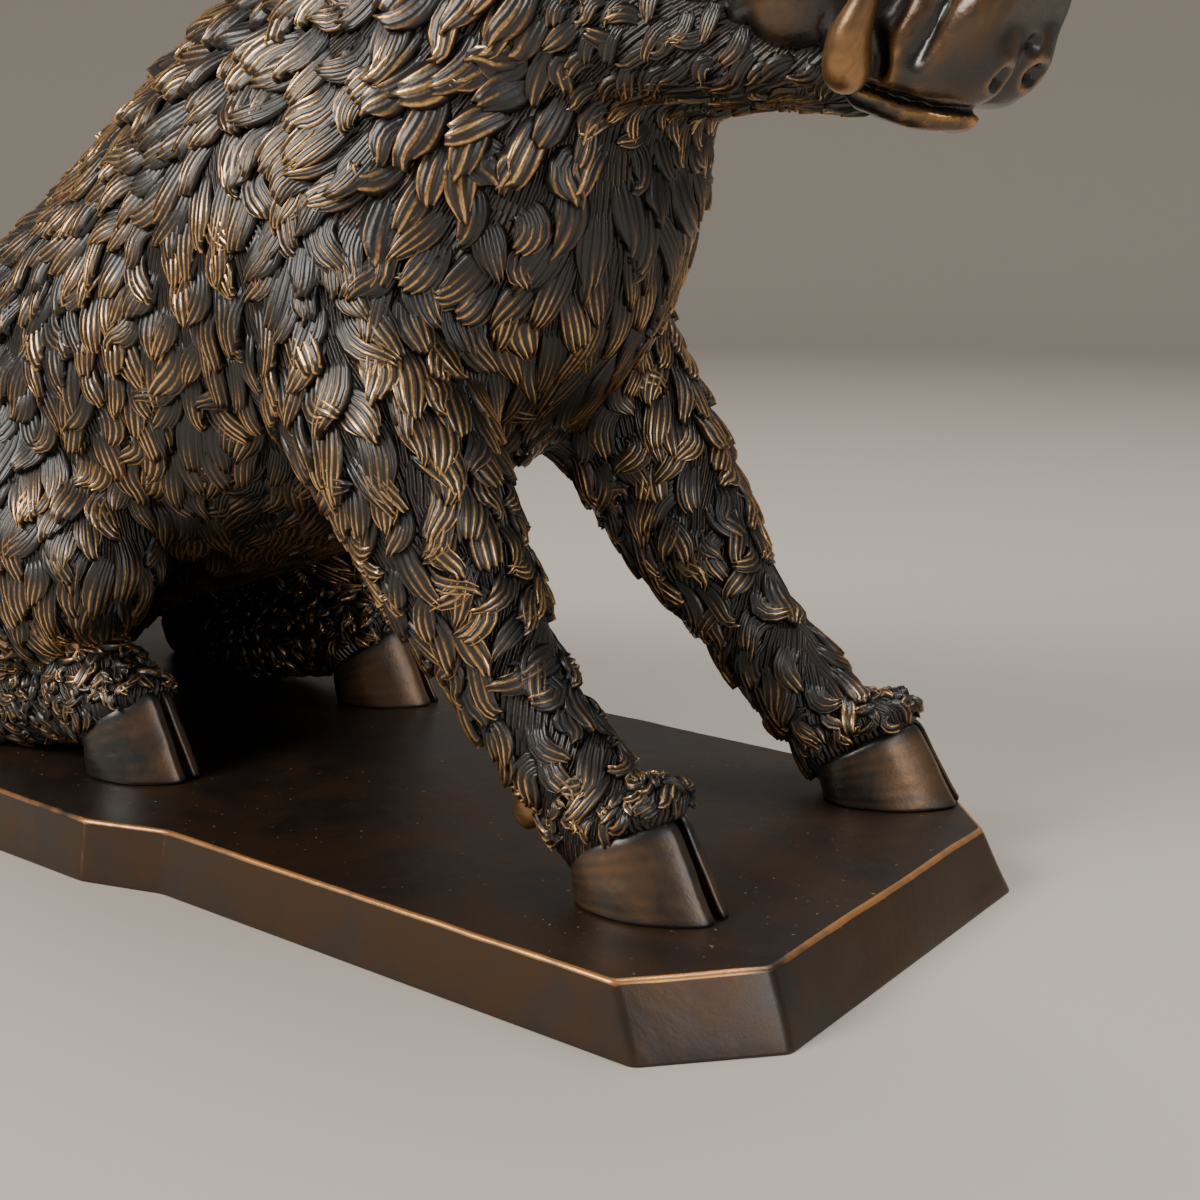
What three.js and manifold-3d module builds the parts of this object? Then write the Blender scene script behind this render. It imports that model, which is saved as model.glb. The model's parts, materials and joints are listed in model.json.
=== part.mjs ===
// A seated wild boar in cast bronze on a chamfered slab plinth.
//
// Frame, in millimetres: +X the way the boar faces, +Y its left side, +Z up.
// The origin is the middle of the plinth's underside.
//
// The boar's form is a set of tapered limbs, each a smooth curve with a radius at every point.
// They are melted into one closed skin, and the hooves, ears, tusks and locks of hair are joined to it.

import * as THREE from "three";
import { mergeVertices } from "three/addons/utils/BufferGeometryUtils.js";
import Module from "manifold-3d";

const wasm = await Module();
wasm.setup();

// ---------------------------------------------------------------- driving sizes

const PLINTH = {
  length: 438,
  halfWidth: 84, // at the front, on top
  step: 8, // how far the rear part stands out past the front part
  stepX: 38, // where the step begins on the right side
  stepRun: 26, // length of the step's slant
  leftStepX: -52, // the step sits further back on the left side
  height: 18,
  draftEnd: 8, // how far the ends lean out towards the foot
  draftSide: 3,
  chamferX: 25,
  chamferY: 27,
};
const TOP = PLINTH.height;
const HIND_SCALE = 0.92; // a hind claw over a fore claw

// foot: where the ankle stands over the plinth, and how far the toes turn out, in degrees.
const SIDES = [
  {
    name: "right",
    s: -1,
    foreFoot: { x: 170, y: -42, turn: -3 },
    hindFoot: { x: -15, y: -54, turn: 5 },
  },
  {
    name: "left",
    s: 1,
    foreFoot: { x: 179, y: 64, turn: 16 },
    hindFoot: { x: -13, y: 50, turn: 12 },
  },
];

// The skin is meshed coarsely over the barrel and finely where the form is small.
const BODY_STEP = 12.9;
const FINE_ZONES = [
  { name: "head", step: 7.8, low: [126, -60, 186], high: [270, 60, 330] },
  { name: "right foreleg", step: 8.4, low: [92, -90, 0], high: [230, 4, 96] },
  { name: "left foreleg", step: 8.4, low: [92, 4, 0], high: [230, 110, 96] },
];
const LOCK = { length: 30, width: 17, lift: 4.5, spacing: 21, ramp: 4.2, turn: 0.3, turnStep: 2.4 };

// ---------------------------------------------------------------- implicit limbs

// points: [x, y, z, radius, widthRatio]; widthRatio is the half width along Y over the radius.
function limb(points, spans, flow) {
  const centres = new THREE.CatmullRomCurve3(points.map((p) => new THREE.Vector3(p[0], p[1], p[2])));
  const sizes = new THREE.CatmullRomCurve3(points.map((p) => new THREE.Vector3(p[3], p[4] ?? 1, 0)));
  const stations = [];
  for (let i = 0; i <= spans; i++) {
    const c = centres.getPoint(i / spans);
    const s = sizes.getPoint(i / spans);
    stations.push({ c, r: s.x, k: s.y });
  }
  return { stations, flow };
}

// Distance-like value of one limb at p: negative inside.
function limbValue({ stations }, p) {
  let best = Infinity;
  for (let i = 0; i + 1 < stations.length; i++) {
    const a = stations[i];
    const b = stations[i + 1];
    const ex = b.c.x - a.c.x;
    const ey = b.c.y - a.c.y;
    const ez = b.c.z - a.c.z;
    const along = (p.x - a.c.x) * ex + (p.y - a.c.y) * ey + (p.z - a.c.z) * ez;
    const t = Math.min(1, Math.max(0, along / (ex * ex + ey * ey + ez * ez)));
    const k = a.k + (b.k - a.k) * t;
    const dx = p.x - a.c.x - ex * t;
    const dy = (p.y - a.c.y - ey * t) / k;
    const dz = p.z - a.c.z - ez * t;
    best = Math.min(best, Math.sqrt(dx * dx + dy * dy + dz * dz) - a.r - (b.r - a.r) * t);
  }
  return best;
}

// Smooth union: two values melt together where they differ by less than the reach.
function melt(a, b, reach) {
  const h = Math.max(reach - Math.abs(a - b), 0) / reach;
  return Math.min(a, b) - (h * h * reach) / 4;
}

// Rump, barrel, chest, neck and head, from the tail end to the muzzle.
const torso = limb(
  [
    [-148, 0, 66, 53, 1.0],
    [-118, 0, 100, 63, 1.0],
    [-74, 0, 122, 67, 0.97],
    [-16, 0, 147, 72, 0.92],
    [36, 0, 174, 77, 0.84],
    [74, 0, 195, 71.5, 0.86],
    [95, 0, 229, 59.5, 0.86],
    [124, 0, 253, 48, 0.86],
    [160, 0, 246, 33.5, 0.84],
    [194, 0, 236, 23, 0.84],
    [229, 0, 228, 15.5, 1.05],
  ],
  40,
  new THREE.Vector3(-0.62, 0, -0.78),
);

// The mane's ridge, from behind the ears down to the withers.
const crest = limb(
  [
    [-24, 0, 206, 15, 0.8],
    [4, 0, 232, 18, 0.7],
    [36, 0, 266, 20, 0.6],
    [72, 0, 289, 18, 0.6],
    [106, 0, 291, 14, 0.7],
  ],
  12,
  new THREE.Vector3(-0.8, 0, -0.3),
);

// The leg below the elbow: height of the axis, its x for a foot at x = 170, radius.
const FORELEG = [
  [128, 98, 25],
  [114, 106, 23],
  [94, 117, 20],
  [76, 128, 16.2],
  [56, 143, 14.6],
  [40, 158, 13.8],
  [27, 167, 12.5],
];

// Shoulder, elbow, knee and pastern, down into the top of the hoof.
function foreleg({ s, foreFoot }) {
  const lower = FORELEG.map(([z, x, radius]) => {
    const share = (FORELEG[0][0] - z) / (FORELEG[0][0] - TOP);
    const y = s * 49 + (foreFoot.y - s * 49) * share;
    return [x + (foreFoot.x - 170) * share, y, z, radius, 0.88 + 0.12 * share];
  });
  return limb(
    [[58, s * 38, 178, 45, 0.6], [80, s * 45, 150, 32, 0.74], ...lower],
    30,
    new THREE.Vector3(0.55, 0, -0.84),
  );
}

function thigh({ s }) {
  return limb(
    [
      [-138, s * 36, 92, 52, 0.72],
      [-104, s * 46, 94, 50, 0.66],
      [-66, s * 54, 93, 37, 0.66],
      [-32, s * 56, 84, 25, 0.8],
    ],
    14,
    new THREE.Vector3(-0.5, 0, -0.86),
  );
}

// From the knee back to the hock, and along the plinth to the hind foot.
function shank({ s, hindFoot }) {
  const ankle = { x: hindFoot.x - 12, y: hindFoot.y, z: TOP + 24 };
  return limb(
    [
      [-44, s * 58, 70, 20, 0.9],
      [-82, s * 60, 47, 16, 1],
      [-118, s * 60, 32, 16, 1],
      [-112, s * 60, 31, 15.5, 1],
      [-74, ankle.y - 4, 32, 15, 1],
      [ankle.x - 16, ankle.y, ankle.z - 4, 15, 1],
      [ankle.x, ankle.y, ankle.z - 1, 15.5, 1],
      [ankle.x + 10, ankle.y, ankle.z - 9, 13, 1],
    ],
    26,
    new THREE.Vector3(0.9, 0, -0.4),
  );
}

const cheeks = SIDES.map(({ s }) =>
  limb(
    [
      [126, s * 27, 240, 27, 0.62],
      [160, s * 21, 231, 18, 0.66],
      [200, s * 13, 226, 12, 0.8],
    ],
    8,
    new THREE.Vector3(-0.7, 0, -0.7),
  ),
);
const jaw = limb(
  [
    [150, 0, 228, 17, 1.1],
    [192, 0, 221, 9.5, 1.3],
    [222, 0, 212, 7.5, 1.4],
    [229, 0, 212, 6, 1.4],
  ],
  8,
  new THREE.Vector3(-1, 0, 0),
);
const brows = SIDES.map(({ s }) =>
  limb(
    [
      [130, s * 24, 283, 13, 1],
      [152, s * 20, 271, 9, 1],
    ],
    3,
    new THREE.Vector3(-0.8, 0, 0.3),
  ),
);

// Every limb with the reach over which it melts into what is already there.
const FORM = [
  [torso, 1],
  [crest, 16],
  ...SIDES.map((side) => [thigh(side), 10]),
  ...SIDES.map((side) => [foreleg(side), 14]),
  ...SIDES.map((side) => [shank(side), 6]),
  ...cheeks.map((cheek) => [cheek, 9]),
  [jaw, 5],
  ...brows.map((brow) => [brow, 8]),
];

function bodyValue(p) {
  return FORM.reduce((value, [part, reach]) => melt(value, limbValue(part, p), reach), 1e3);
}

function bodyNormal(p) {
  const e = 0.5;
  const at = (x, y, z) => bodyValue(new THREE.Vector3(p.x + x, p.y + y, p.z + z));
  return new THREE.Vector3(
    at(e, 0, 0) - at(-e, 0, 0),
    at(0, e, 0) - at(0, -e, 0),
    at(0, 0, e) - at(0, 0, -e),
  ).normalize();
}

// ---------------------------------------------------------------- skin of an implicit form

// One vertex in each grid cell that the surface crosses, and one quad round each grid edge that it crosses.
function skin(value, low, high, step) {
  const n = high.clone().sub(low).divideScalar(step).ceil().addScalar(1);
  const samples = new Float32Array(n.x * n.y * n.z);
  const index = (i, j, k) => i + n.x * (j + n.y * k);
  const place = (i, j, k) => new THREE.Vector3(i, j, k).multiplyScalar(step).add(low);
  for (let k = 0; k < n.z; k++)
    for (let j = 0; j < n.y; j++)
      for (let i = 0; i < n.x; i++) samples[index(i, j, k)] = value(place(i, j, k));

  const corners = [...Array(8).keys()].map((c) => [c & 1, (c >> 1) & 1, c >> 2]);
  const edges = [];
  for (let a = 0; a < 8; a++)
    for (const bit of [1, 2, 4]) if (!(a & bit)) edges.push([a, a | bit]);

  const positions = [];
  const vertexOf = new Map();
  for (let k = 0; k + 1 < n.z; k++)
    for (let j = 0; j + 1 < n.y; j++)
      for (let i = 0; i + 1 < n.x; i++) {
        const v = corners.map(([x, y, z]) => samples[index(i + x, j + y, k + z)]);
        const sum = new THREE.Vector3();
        let crossings = 0;
        for (const [a, b] of edges) {
          if (v[a] < 0 === v[b] < 0) continue;
          const t = v[a] / (v[a] - v[b]);
          sum.x += corners[a][0] + (corners[b][0] - corners[a][0]) * t;
          sum.y += corners[a][1] + (corners[b][1] - corners[a][1]) * t;
          sum.z += corners[a][2] + (corners[b][2] - corners[a][2]) * t;
          crossings += 1;
        }
        if (!crossings) continue;
        vertexOf.set(index(i, j, k), positions.length / 3);
        const p = place(i, j, k).add(sum.multiplyScalar(step / crossings));
        positions.push(p.x, p.y, p.z);
      }

  const indices = [];
  const axes = [
    [1, 0, 0],
    [0, 1, 0],
    [0, 0, 1],
  ];
  for (let k = 1; k + 1 < n.z; k++)
    for (let j = 1; j + 1 < n.y; j++)
      for (let i = 1; i + 1 < n.x; i++)
        axes.forEach((e, axis) => {
          const a = samples[index(i, j, k)];
          const b = samples[index(i + e[0], j + e[1], k + e[2])];
          if (a < 0 === b < 0) return;
          const u = axes[(axis + 1) % 3];
          const w = axes[(axis + 2) % 3];
          const cell = (su, sw) =>
            vertexOf.get(
              index(i - su * u[0] - sw * w[0], j - su * u[1] - sw * w[1], k - su * u[2] - sw * w[2]),
            );
          const quad = [cell(1, 1), cell(0, 1), cell(0, 0), cell(1, 0)];
          if (a >= 0) quad.reverse();
          indices.push(quad[0], quad[1], quad[2], quad[0], quad[2], quad[3]);
        });

  const geometry = new THREE.BufferGeometry();
  geometry.setAttribute("position", new THREE.Float32BufferAttribute(positions, 3));
  geometry.setIndex(indices);
  return geometry;
}

// ---------------------------------------------------------------- solids and joins

function solidOf(geometry) {
  const bare = geometry.clone();
  bare.deleteAttribute("normal");
  bare.deleteAttribute("uv");
  const merged = mergeVertices(bare, 1e-3);
  return new wasm.Manifold(
    new wasm.Mesh({
      numProp: 3,
      vertProperties: merged.attributes.position.array,
      triVerts: new Uint32Array(merged.index.array),
    }),
  );
}

function geometryOf(solid) {
  const mesh = solid.getMesh();
  const geometry = new THREE.BufferGeometry();
  geometry.setAttribute("position", new THREE.BufferAttribute(mesh.vertProperties, 3));
  geometry.setIndex(new THREE.BufferAttribute(mesh.triVerts, 1));
  return geometry;
}

// A closed solid through rings of points that all have the same count, capped with fans.
function ringSolid(rings) {
  const count = rings[0].length;
  const positions = [];
  const indices = [];
  rings.flat().forEach((p) => positions.push(p.x, p.y, p.z));
  for (let r = 0; r + 1 < rings.length; r++)
    for (let i = 0; i < count; i++) {
      const a = r * count + i;
      const b = r * count + ((i + 1) % count);
      indices.push(a, b, b + count, a, b + count, a + count);
    }
  const last = (rings.length - 1) * count;
  for (let i = 1; i + 1 < count; i++) {
    indices.push(0, i + 1, i);
    indices.push(last, last + i, last + i + 1);
  }
  const geometry = new THREE.BufferGeometry();
  geometry.setAttribute("position", new THREE.Float32BufferAttribute(positions, 3));
  geometry.setIndex(indices);
  return geometry;
}

// ---------------------------------------------------------------- hooves

// One claw, from the coronet down to the sole. The toe points along +X.
// The coronet is a slanting line: low over the heel and high in front.
const CLAW = {
  half: 8.4,
  sole: { heel: -13, toe: 27 },
  coronet: { heel: -15, toe: 13.5, heelHeight: 9.5, toeHeight: 23 },
};

function claw(side) {
  const outline = [
    [0.03, 0.1],
    [0, 0.9],
    [0.08, 1.6],
    [0.34, 1.95],
    [0.66, 1.75],
    [0.9, 1.1],
    [1, 0.5],
    [0.97, 0.1],
  ];
  const { half, sole, coronet } = CLAW;
  const rings = [0, 0.5, 1].map((up) => {
    const heel = sole.heel + (coronet.heel - sole.heel) * up;
    const toe = sole.toe + (coronet.toe - sole.toe) * up;
    return outline.map(([share, across]) => {
      const height = coronet.heelHeight + (coronet.toeHeight - coronet.heelHeight) * share;
      const swell = 1 - 0.14 * up;
      return new THREE.Vector3(heel + (toe - heel) * share, side * across * half * swell, height * up);
    });
  });
  return closedOutward(rings);
}

function hoof({ x, y, turn }, scale) {
  const place = new THREE.Matrix4()
    .makeTranslation(x, y, TOP)
    .multiply(new THREE.Matrix4().makeRotationZ(THREE.MathUtils.degToRad(turn)))
    .multiply(new THREE.Matrix4().makeScale(scale, scale, scale));
  return [-1, 1].map((side) => {
    const geometry = geometryOf(claw(side)).applyMatrix4(place);
    return solidOf(geometry);
  });
}

// The two small claws that hang behind the pastern: egg shapes, behind the ankle and either side of it.
const DEWCLAW = { radius: 5.6, shape: [0.9, 0.8, 1.5], lean: 0.5, back: 25, apart: 7.5, height: 17 };

function dewclaws({ x, y }) {
  return [-1, 1].map((side) => {
    const small = new THREE.SphereGeometry(DEWCLAW.radius, 7, 5);
    small.scale(...DEWCLAW.shape);
    small.rotateY(DEWCLAW.lean);
    small.translate(x - DEWCLAW.back, y + side * DEWCLAW.apart, TOP + DEWCLAW.height);
    return solidOf(small);
  });
}

// ---------------------------------------------------------------- head fittings

// A leaf-shaped ear, its tip up and back. Each share is: along the ear, half width, thickness.
const EAR = {
  base: [104, 27, 276],
  tip: [84, 47, 318],
  across: [0.62, 0.72, -0.1],
  shares: [
    [0, 11, 9],
    [0.3, 14.5, 7],
    [0.62, 11, 5],
    [0.88, 5, 3],
    [1, 1.2, 1.2],
  ],
  sides: 8,
  hollow: 0.25, // how far the front face is cupped in, over the half thickness
};

const mirrored = ([x, y, z], s) => new THREE.Vector3(x, s * y, z);

function ear({ s }) {
  const base = mirrored(EAR.base, s);
  const across = mirrored(EAR.across, s).normalize();
  const along = mirrored(EAR.tip, s).sub(base);
  const out = across.clone().cross(along).normalize().multiplyScalar(s);
  const rings = EAR.shares.map(([share, half, thick]) => {
    const centre = base.clone().addScaledVector(along, share);
    return [...Array(EAR.sides).keys()].map((i) => {
      const turn = (i / EAR.sides) * Math.PI * 2;
      const cup = Math.sin(turn) > 0.2 ? EAR.hollow : -1;
      return centre
        .clone()
        .addScaledVector(across, Math.cos(turn) * half)
        .addScaledVector(out, (Math.sin(turn) * thick * cup) / 2);
    });
  });
  return closedOutward(rings);
}

// A ring solid that is turned round if its faces came out pointing inwards.
function closedOutward(rings) {
  const solid = solidOf(ringSolid(rings));
  return solid.volume() > 0 ? solid : solidOf(ringSolid(rings.map((ring) => [...ring].reverse())));
}

// A round tube along a curve whose radius shrinks to the tip.
function horn(points, radii, sides) {
  const curve = new THREE.CatmullRomCurve3(points);
  const frames = curve.computeFrenetFrames(radii.length - 1);
  const rings = radii.map((radius, i) => {
    const centre = curve.getPointAt(i / (radii.length - 1));
    return [...Array(sides).keys()].map((j) => {
      const a = (j / sides) * Math.PI * 2;
      return centre
        .clone()
        .addScaledVector(frames.normals[i], Math.cos(a) * radius)
        .addScaledVector(frames.binormals[i], Math.sin(a) * radius);
    });
  });
  return closedOutward(rings);
}

// The lower tusk grows out of the jaw and curves up beside the snout.
const TUSK = {
  points: [
    [209, 17, 217],
    [212.5, 23.2, 217.3],
    [214.6, 26.2, 222.5],
    [218.8, 27.8, 230.5],
    [221.5, 27.5, 241],
    [221.5, 26, 253],
  ],
  radii: [4.4, 5.6, 4.7, 3, 2.2, 0.9],
};

// A short tail that lies down over the rump to the right.
const TAIL = {
  points: [
    [-178, 0, 122],
    [-200, -4, 106],
    [-206, -14, 82],
    [-200, -28, 62],
  ],
  radii: [8, 7.5, 7, 7.5, 3],
};
const HORN_SIDES = 8;

const tusk = ({ s }) => horn(TUSK.points.map((p) => mirrored(p, s)), TUSK.radii, HORN_SIDES);
const tail = () => horn(TAIL.points.map((p) => mirrored(p, 1)), TAIL.radii, HORN_SIDES);

// The snout's flat disc faces forwards and down, with two nostrils in its lower half. The profile
// is radius less the disc's own, and how far out of the disc's plane.
const SNOUT = {
  centre: [243, 0, 226],
  radius: 20.5,
  lean: 0.5,
  squash: 0.98, // width over height
  rim: [
    [-4, -14],
    [-1, -5],
    [0, -1],
    [-2.5, 2],
  ],
  sides: 20,
};
const NOSTRIL = { radius: 4.2, shape: [1.3, 0.9, 1.15], place: [3, 7.8, -6] };

function snoutDisc() {
  const rim = SNOUT.rim.map(([inset, x]) => new THREE.Vector2(SNOUT.radius + inset, x));
  const back = new THREE.Vector2(0, rim[0].y);
  const front = new THREE.Vector2(0, rim[rim.length - 1].y);
  const disc = new THREE.LatheGeometry([back, ...rim, front], SNOUT.sides);
  disc.rotateZ(-Math.PI / 2);
  disc.scale(1, 1, SNOUT.squash);
  let solid = solidOf(disc);
  for (const side of [-1, 1]) {
    const nostril = new THREE.SphereGeometry(NOSTRIL.radius, 10, 8);
    nostril.scale(...NOSTRIL.shape);
    nostril.translate(...mirrored(NOSTRIL.place, side));
    solid = solid.subtract(solidOf(nostril));
  }
  const placed = geometryOf(solid);
  placed.rotateY(SNOUT.lean);
  placed.translate(...SNOUT.centre);
  return solidOf(placed);
}

// ---------------------------------------------------------------- locks of hair

// The part of the form that p lies on, whose hair it wears.
function flowAt(p) {
  let best = FORM[0][0];
  let least = Infinity;
  for (const [part] of FORM) {
    const value = limbValue(part, p);
    if (value < least) {
      least = value;
      best = part;
    }
  }
  return best.flow;
}

// Smooth skin: the muzzle, the soles and what lies on the plinth.
const MUZZLE = { x: 168, z: 190 };
const BARE_HEIGHT = TOP + 12;

function isBare(p) {
  return (p.x > MUZZLE.x && p.z > MUZZLE.z) || p.z < BARE_HEIGHT;
}

// A lock is a low ridge: rooted under the skin, highest past its middle, with a free pointed tip.
function lock(p, normal, flow, turn) {
  const along = flow.clone().addScaledVector(normal, -flow.dot(normal)).normalize();
  along.applyAxisAngle(normal, turn);
  const across = normal.clone().cross(along);
  const at = (a, b, c) =>
    p
      .clone()
      .addScaledVector(along, a * LOCK.length)
      .addScaledVector(across, b * LOCK.width)
      .addScaledVector(normal, c * LOCK.lift);
  const ring = [at(0.12, 0.5, -0.9), at(0.12, 0.2, 1), at(0.12, -0.25, 0.75), at(0.12, -0.5, -0.9)];
  const root = at(-0.5, 0, -0.6);
  const tip = at(0.52, 0.1, 0.35);
  const points = [root, ...ring, tip];
  const faces = [0, 1, 2, 0, 2, 3, 0, 3, 4, 0, 4, 1, 5, 2, 1, 5, 3, 2, 5, 4, 3, 5, 1, 4];
  const geometry = new THREE.BufferGeometry();
  geometry.setAttribute("position", new THREE.Float32BufferAttribute(points.flatMap((v) => v.toArray()), 3));
  geometry.setIndex(faces);
  const solid = solidOf(geometry);
  if (solid.volume() > 0) return solid;
  const turned = [];
  for (let i = 0; i < faces.length; i += 3) turned.push(faces[i], faces[i + 2], faces[i + 1]);
  geometry.setIndex(turned);
  return solidOf(geometry);
}

// Roots of the locks: skin points that keep a spacing from one another, in the skin's own order.
function lockRoots(points) {
  const roots = [];
  for (const p of points) {
    if (isBare(p) || roots.some(({ p: q }) => q.distanceTo(p) < LOCK.spacing)) continue;
    const normal = bodyNormal(p);
    const flow = flowAt(p);
    const along = flow.clone().addScaledVector(normal, -flow.dot(normal)).normalize();
    roots.push({ p, normal, flow, along });
  }
  return roots;
}

// Lifts the skin in shingles: it rises along each root's own patch and drops back where the next one starts.
function shingle(points, roots) {
  return points.map((p) => {
    if (isBare(p)) return p;
    const near = roots.reduce((best, root) =>
      root.p.distanceToSquared(p) < best.p.distanceToSquared(p) ? root : best,
    );
    const share = p.clone().sub(near.p).dot(near.along) / LOCK.spacing;
    return p.clone().addScaledVector(near.normal, LOCK.ramp * Math.min(0.5, Math.max(-0.5, share)));
  });
}

// Whole locks stand free where they make the outline: along the middle of the back, the chest and the mane.
const FREE = { halfWidth: 16, above: 95, sideways: 0.55 };

function standsFree({ p, normal }) {
  return Math.abs(p.y) < FREE.halfWidth && p.z > FREE.above && Math.abs(normal.y) < FREE.sideways;
}

// ---------------------------------------------------------------- the boar

const boxSolid = (low, high) => {
  const size = high.clone().sub(low);
  const box = new THREE.BoxGeometry(size.x, size.y, size.z);
  box.translate(...low.clone().add(high).multiplyScalar(0.5).toArray());
  return solidOf(box);
};

// How far p lies outside the box: negative inside.
function outside(p, low, high) {
  return Math.max(low.x - p.x, p.x - high.x, low.y - p.y, p.y - high.y, low.z - p.z, p.z - high.z);
}

function skinPoints(geometry) {
  const position = geometry.attributes.position;
  return [...Array(position.count).keys()].map((i) => new THREE.Vector3().fromBufferAttribute(position, i));
}

// The skin inside a box, lifted in shingles.
function skinIn(low, high, step, roots) {
  const value = (p) => Math.max(bodyValue(p), outside(p, low, high));
  const margin = new THREE.Vector3(1.5, 1.5, 1.5).multiplyScalar(step);
  const geometry = skin(value, low.clone().sub(margin), high.clone().add(margin), step);
  const lifted = shingle(skinPoints(geometry), roots);
  lifted.forEach((p, i) => geometry.attributes.position.setXYZ(i, p.x, p.y, p.z));
  return solidOf(geometry);
}

const BODY_LOW = [-226, -100, 4];
const BODY_HIGH = [264, 100, 328];
const ZONE_LAP = 0.2; // how far a fine zone reaches into the coarse skin round it

function boarSolid() {
  const low = new THREE.Vector3(...BODY_LOW);
  const high = new THREE.Vector3(...BODY_HIGH);
  const roots = lockRoots(skinPoints(skin(bodyValue, low, high, BODY_STEP)));
  let body = skinIn(low, high, BODY_STEP, roots);
  for (const zone of FINE_ZONES) {
    const zoneLow = new THREE.Vector3(...zone.low);
    const zoneHigh = new THREE.Vector3(...zone.high);
    const pad = new THREE.Vector3(1, 1, 1).multiplyScalar(zone.step * 1.5);
    const fine = skinIn(zoneLow.clone().sub(pad), zoneHigh.clone().add(pad), zone.step, roots);
    const lap = new THREE.Vector3(1, 1, 1).multiplyScalar(ZONE_LAP);
    const kept = fine.intersect(boxSolid(zoneLow.clone().sub(lap), zoneHigh.clone().add(lap)));
    body = body.subtract(boxSolid(zoneLow, zoneHigh)).add(kept);
  }
  const freeLocks = roots
    .filter(standsFree)
    .map(({ p, normal, flow }, i) => lock(p, normal, flow, LOCK.turn * Math.sin(i * LOCK.turnStep)));
  const joined = [body, ...freeLocks];
  for (const side of SIDES) {
    joined.push(...hoof(side.foreFoot, 1), ...hoof(side.hindFoot, HIND_SCALE));
    joined.push(...dewclaws(side.foreFoot));
    joined.push(ear(side), tusk(side));
  }
  joined.push(snoutDisc(), tail());
  const whole = wasm.Manifold.union(joined);
  return whole.trimByPlane([0, 0, 1], TOP);
}

// Where two folds of the skin meet in one point, each draws back into the body a
// little, so that no edge is shared by more than two faces.
const DRAW_BACK = 0.15;

function parted(geometry) {
  const { position } = geometry.attributes;
  geometry.computeVertexNormals();
  const { normal } = geometry.attributes;
  const places = new Map();
  for (let i = 0; i < position.count; i++) {
    const key = [position.getX(i), position.getY(i), position.getZ(i)].map((v) => v.toFixed(3)).join();
    places.set(key, [...(places.get(key) ?? []), i]);
  }
  for (const shared of places.values()) {
    if (shared.length < 2) continue;
    for (const i of shared) {
      const p = new THREE.Vector3().fromBufferAttribute(position, i);
      p.addScaledVector(new THREE.Vector3().fromBufferAttribute(normal, i), -DRAW_BACK);
      position.setXYZ(i, p.x, p.y, Math.max(p.z, TOP));
    }
  }
  geometry.deleteAttribute("normal");
  return geometry;
}

// ---------------------------------------------------------------- the plinth

// The slab's outline with every side pushed out by the drafts.
function plinthOutline(outEnd, outSide) {
  const end = PLINTH.length / 2 + outEnd;
  const side = PLINTH.halfWidth + outSide;
  const wide = side + PLINTH.step;
  const { chamferX, chamferY, stepX, leftStepX, stepRun } = PLINTH;
  return [
    [end, -side + chamferY],
    [end, side - chamferY],
    [end - chamferX, side],
    [leftStepX, side],
    [leftStepX - stepRun, wide],
    [-end + chamferX, wide],
    [-end, wide - chamferY],
    [-end, -wide + chamferY],
    [-end + chamferX, -wide],
    [stepX - stepRun, -wide],
    [stepX, -side],
    [end - chamferX, -side],
  ];
}

function plinthGeometry() {
  const foot = plinthOutline(PLINTH.draftEnd, PLINTH.draftSide);
  const top = plinthOutline(0, 0);
  const count = foot.length;
  const flat = foot.map(([x, y]) => new THREE.Vector2(x, y));
  const cap = THREE.ShapeUtils.triangulateShape(flat, []);
  const positions = [
    ...foot.flatMap(([x, y]) => [x, y, 0]),
    ...top.flatMap(([x, y]) => [x, y, PLINTH.height]),
  ];
  const indices = [];
  for (const [a, b, c] of cap) indices.push(c, b, a, a + count, b + count, c + count);
  for (let i = 0; i < count; i++) {
    const j = (i + 1) % count;
    indices.push(i, j, j + count, i, j + count, i + count);
  }
  const geometry = new THREE.BufferGeometry();
  geometry.setAttribute("position", new THREE.Float32BufferAttribute(positions, 3));
  geometry.setIndex(indices);
  return geometry;
}

// ---------------------------------------------------------------- scene graph

const bronze = new THREE.MeshStandardMaterial({ color: 0x4a3524, roughness: 0.38, metalness: 1 });
const plinthBronze = new THREE.MeshStandardMaterial({ color: 0x3d2b1c, roughness: 0.42, metalness: 1 });

const group = new THREE.Group();

const boar = new THREE.Mesh(parted(geometryOf(boarSolid())), bronze);
boar.name = "boar";
group.add(boar);

const plinth = new THREE.Mesh(plinthGeometry(), plinthBronze);
plinth.name = "plinth";
group.add(plinth);

export default group;
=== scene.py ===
"""A seated wild boar in patinated bronze on its plinth.

Shapes are worked out in millimetres, in the frame of the CAD part, and put into meshes in
metres. The body is an implicit form: limbs of varying radius that melt into each other.
The hair is laid on it lock by lock along a field of hair directions.
"""

import json
import math

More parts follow.
